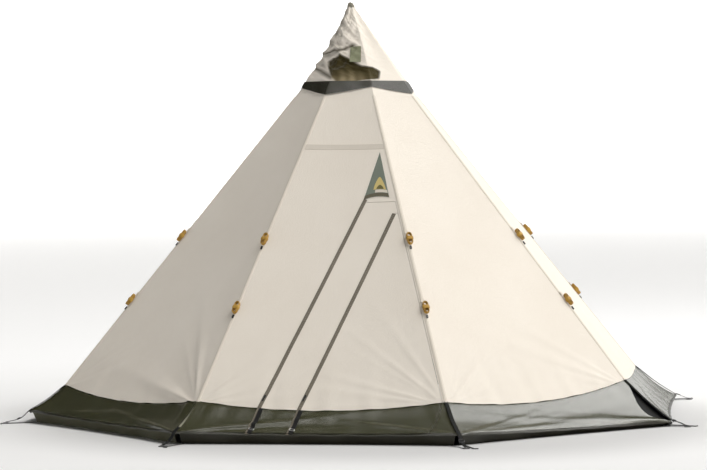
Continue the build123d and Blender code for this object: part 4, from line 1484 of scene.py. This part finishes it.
cap_angle = np.linspace(-math.pi, math.pi, 8 * 44, endpoint=False)[None, :]
cap_t = np.linspace(0, 1, 190)[:, None]
angle_grid, t_grid = np.broadcast_arrays(cap_angle, cap_t)
degrees = np.degrees(angle_grid)
slot_mask = inside(slot_outline, degrees, t_grid)
soft = slot_mask.astype(float)
for _ in range(3):
    nearby = sum(np.roll(soft, step, axis) for axis in (0, 1) for step in (1, -1))
    soft = (soft + nearby) / 5
rim = 4 * soft * (1 - soft)
torn = near_line(torn_edge, degrees, t_grid, 0.030)
folded = near_line(low_fold, degrees, t_grid, 0.034)
lip = near_line(torn_edge, degrees, t_grid - 0.03, 0.05)
gather = 0.5 + 0.5 * np.sin(angle_grid * 30 + 9 * t_grid)
sunk = (0.002 + 0.035 * t_grid) * soft * (0.7 + 0.3 * gather) + 0.010 * torn + 0.006 * folded
points = on_cap(angle_grid, t_grid, 0.006 * rim + 0.010 * lip - sunk).reshape(-1, 3)
faces = grid_faces(len(cap_t), cap_angle.shape[1], closed_columns=True)
print("slot", int(slot_mask.sum()), "of", slot_mask.size, "points")

# %% [markdown]
# The cap's canvas is woven like the tent's, with one more layer: painted shade darkens it in the slot,
# along the torn edge and in the fold, and it is also darker on the cap's left. Two attributes of the mesh
# hold this, a share and a colour for each point, and the material mixes that colour over the cloth by that
# share.

# %% Vent cap cloth
# The colour of the painted shade, which grows paler near the slot's lower front edge.
DARK_SLOT, PALE_SLOT = np.array([0.045, 0.034, 0.008]), np.array([0.42, 0.34, 0.20])
cap_canvas = cloth_material("cap_canvas", (0.80, 0.735, 0.645), (0.86, 0.80, 0.715), 0.0011, 0.9, 0.2, 0.15)
tree = cap_canvas.node_tree
shader = tree.nodes["Principled BSDF"]
slot_value = tree.nodes.new("ShaderNodeAttribute")
slot_value.attribute_name = "slot"
slot_tint = tree.nodes.new("ShaderNodeAttribute")
slot_tint.attribute_name = "slot_tint"
base = shader.inputs["Base Color"].links[0].from_socket
mix = tree.nodes.new("ShaderNodeMix")
mix.data_type = "RGBA"
tree.links.new(slot_tint.outputs["Color"], mix.inputs["B"])
tree.links.new(slot_value.outputs["Fac"], mix.inputs["Factor"])
tree.links.new(base, mix.inputs["A"])
tree.links.new(mix.outputs["Result"], shader.inputs["Base Color"])
cap_uv = np.stack([(angle_grid * 0.22).ravel(), (t_grid * 0.6).ravel()], axis=1)
cap = make_piece("vent_cap_cloth", points, faces, cap_canvas, (0, 0, 2.2), cap_uv)
# The cloth is darker on the cap's left, most at some 60 degrees left of the front.
left_darkening = 0.60 * np.exp(-(((degrees + 62) / 30) ** 2)) * (0.6 + 0.4 * np.sin(46 * t_grid + 2.5 * angle_grid))
left_darkening = left_darkening * np.clip((t_grid - 0.12) * 6, 0, 1)
# Painted shade in the slot, along the torn edge and in the fold, together with the darkening on the left.
shade = np.maximum(np.maximum(soft, left_darkening), np.maximum(0.9 * torn, 0.8 * folded))
slot_layer = cap.data.attributes.new("slot", "FLOAT", "POINT")
slot_layer.data.foreach_set("value", shade.ravel().astype(np.float32))
tint_layer = cap.data.attributes.new("slot_tint", "FLOAT_COLOR", "POINT")
bright = np.clip(1 - t_grid / 0.16, 0, 1) * np.exp(-(((degrees + 4) / 20) ** 2)) * (0.5 + 0.5 * gather)
tint = np.ones((bright.size, 4), np.float32)
tint[:, :3] = DARK_SLOT + (PALE_SLOT - DARK_SLOT) * bright.reshape(-1, 1)
tint_layer.data.foreach_set("color", tint.ravel())
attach(cap, "vent_cap")
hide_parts("vent_cap_facets")
print("cap cloth", round(surface_area(points, faces), 2), "square metres")

# %% [markdown]
# The rod that holds the cap up is a thin springy stick. The slack cloth pulls it a little to the left,
# so it bends as the square of its height above the crown, and its end is sewn into a small hood.

# %% Cap rod and hood
ROD_RADIUS = 0.005
HOOD_TALL = 0.042
HOOD_RADIUS = 0.025
HOOD_DROP = 0.024  # the hood's edge lies this far below the cap's tip
rod_z = np.linspace(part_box("vent_cap_rod")[0][2], cap_tip_z - 0.004, 60)
rod_t = np.clip((rod_z - cap_base_z) / (cap_tip_z - cap_base_z), 0, 1)
rod_path = np.stack([CAP_LEAN * rod_t**2, np.zeros_like(rod_z), rod_z], axis=1)
turn = np.linspace(0, 2 * math.pi, 16, endpoint=False)
round_outline = ROD_RADIUS * np.stack([np.cos(turn), np.sin(turn)], axis=1)
rod_across, rod_out = directions(rod_path, np.broadcast_to(np.array([0.0, -1.0, 0.0]), rod_path.shape))
rod = carried_piece("vent_cap_rod_bent", [(rod_path, rod_across, rod_out)], aluminium, round_outline)
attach(rod, "vent_cap")
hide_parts("vent_cap_rod")
hood_v = np.linspace(0, 1, 18)[:, None]
hood_turn = np.linspace(0, 2 * math.pi, 40, endpoint=False)[None, :]
hood_radius = HOOD_RADIUS * np.sqrt(np.clip(1 - hood_v**2.2, 0, 1)) + 0.0015 * np.sin(5 * hood_turn) * (
    1 - hood_v
)
hood_z = cap_tip_z - HOOD_DROP + HOOD_TALL * hood_v
hood_t = (hood_z - cap_base_z) / (cap_tip_z - cap_base_z)
hood_x = hood_radius * np.sin(hood_turn) + CAP_LEAN * hood_t**2
hood_y = -hood_radius * np.cos(hood_turn)
hood_points = np.stack(np.broadcast_arrays(hood_x, hood_y, hood_z), axis=-1).reshape(-1, 3)
hood_faces = grid_faces(hood_v.size, hood_turn.size, closed_columns=True)
hood_uv = np.stack(np.broadcast_arrays(hood_turn * 0.03, hood_v * 0.04), axis=2).reshape(-1, 2)
hood = make_piece("vent_cap_hood", hood_points, hood_faces, hood_cloth, (0, 0, 2.6), hood_uv)
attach(hood, "vent_cap")
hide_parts("vent_cap_tip_cup")
print("hood up to", round(float(hood_z.max()), 3), "m")

# %% [markdown]
# The cap's edge is bound with a deep band of the dark coated cloth. Its upper edge is level and its
# lower edge rises and falls from corner to corner, because each tie pulls it down differently.

# %% Vent cap band
BAND_RISE = np.array([0.002, 0.052, 0.006, 0.03, 0.01, 0.03, 0.01, 0.050])  # of the lower edge, by corner
BAND_TALL = 0.07
band_t = np.linspace(0, 1, 12)[:, None]
corners_round = (cap_angle / (2 * HALF) + 0.5) % SIDES
corner = np.floor(corners_round).astype(int)
share = corners_round - corner
rise = BAND_RISE[corner % SIDES] * (1 - share) + BAND_RISE[(corner + 1) % SIDES] * share
low_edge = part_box("vent_cap_hem_band")[0][2] + rise
high_edge = cap_base_z + 0.006
_, octagon = octagon_at(cap_angle)
top_reach = (cap_radius + 0.003) * octagon
low_reach = (apothem(low_edge) / math.cos(HALF) + 0.006) * octagon
reach = top_reach + (low_reach - top_reach) * (1 - band_t)
z = high_edge + (low_edge - high_edge) * (1 - band_t)
reach = reach + 0.003 * (1 + np.sin(cap_angle * 17 + 3 * band_t)) * slackness(cap_angle) * (1 - band_t)
points = np.stack([reach * np.sin(cap_angle), -reach * np.cos(cap_angle), z], axis=-1).reshape(-1, 3)
faces = grid_faces(len(band_t), cap_angle.size, closed_columns=True)
uv = np.stack(np.broadcast_arrays(cap_angle * 0.33, band_t * BAND_TALL), axis=2).reshape(-1, 2)
band = make_piece("vent_cap_band_cloth", points, faces, dark_olive, (0, 0, 2.1), uv)
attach(band, "vent_cap")
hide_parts("vent_cap_hem_band")
print("band round the cap", round(surface_area(points, faces) / BAND_TALL, 2), "m")

# %% [markdown]
# A small pale patch is sewn on the right of the slot. It is laid on the cap's surface, a few
# millimetres proud, and grows a little wider towards its upper edge.

# %% Vent cap patch
PATCH_FROM, PATCH_TO = 0.245, 0.445  # shares of the cap's height
PATCH_LEFT, PATCH_SPAN, PATCH_FLARE = -2.5, 16.5, 4.0  # degrees
rows = np.linspace(PATCH_FROM, PATCH_TO, 16)[:, None]
columns = np.linspace(-0.03, 1, 16)[None, :]
span = PATCH_SPAN + PATCH_FLARE * (rows - PATCH_FROM) / (PATCH_TO - PATCH_FROM)
patch_angle = np.radians(PATCH_LEFT + span * np.clip(columns, 0, 1))
points = on_cap(patch_angle, rows, 0.005).reshape(-1, 3)
faces = grid_faces(rows.size, columns.size)
uv = np.stack(np.broadcast_arrays(columns, rows * 0.6), axis=2).reshape(-1, 2)
cap_patch = make_piece("vent_cap_patch_cloth", points, faces, cap_patch_cloth, (0, 0, 2.2), uv)
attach(cap_patch, "vent_cap")
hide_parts("vent_cap_patch")
print("cap patch", round(surface_area(points, faces), 4), "square metres")
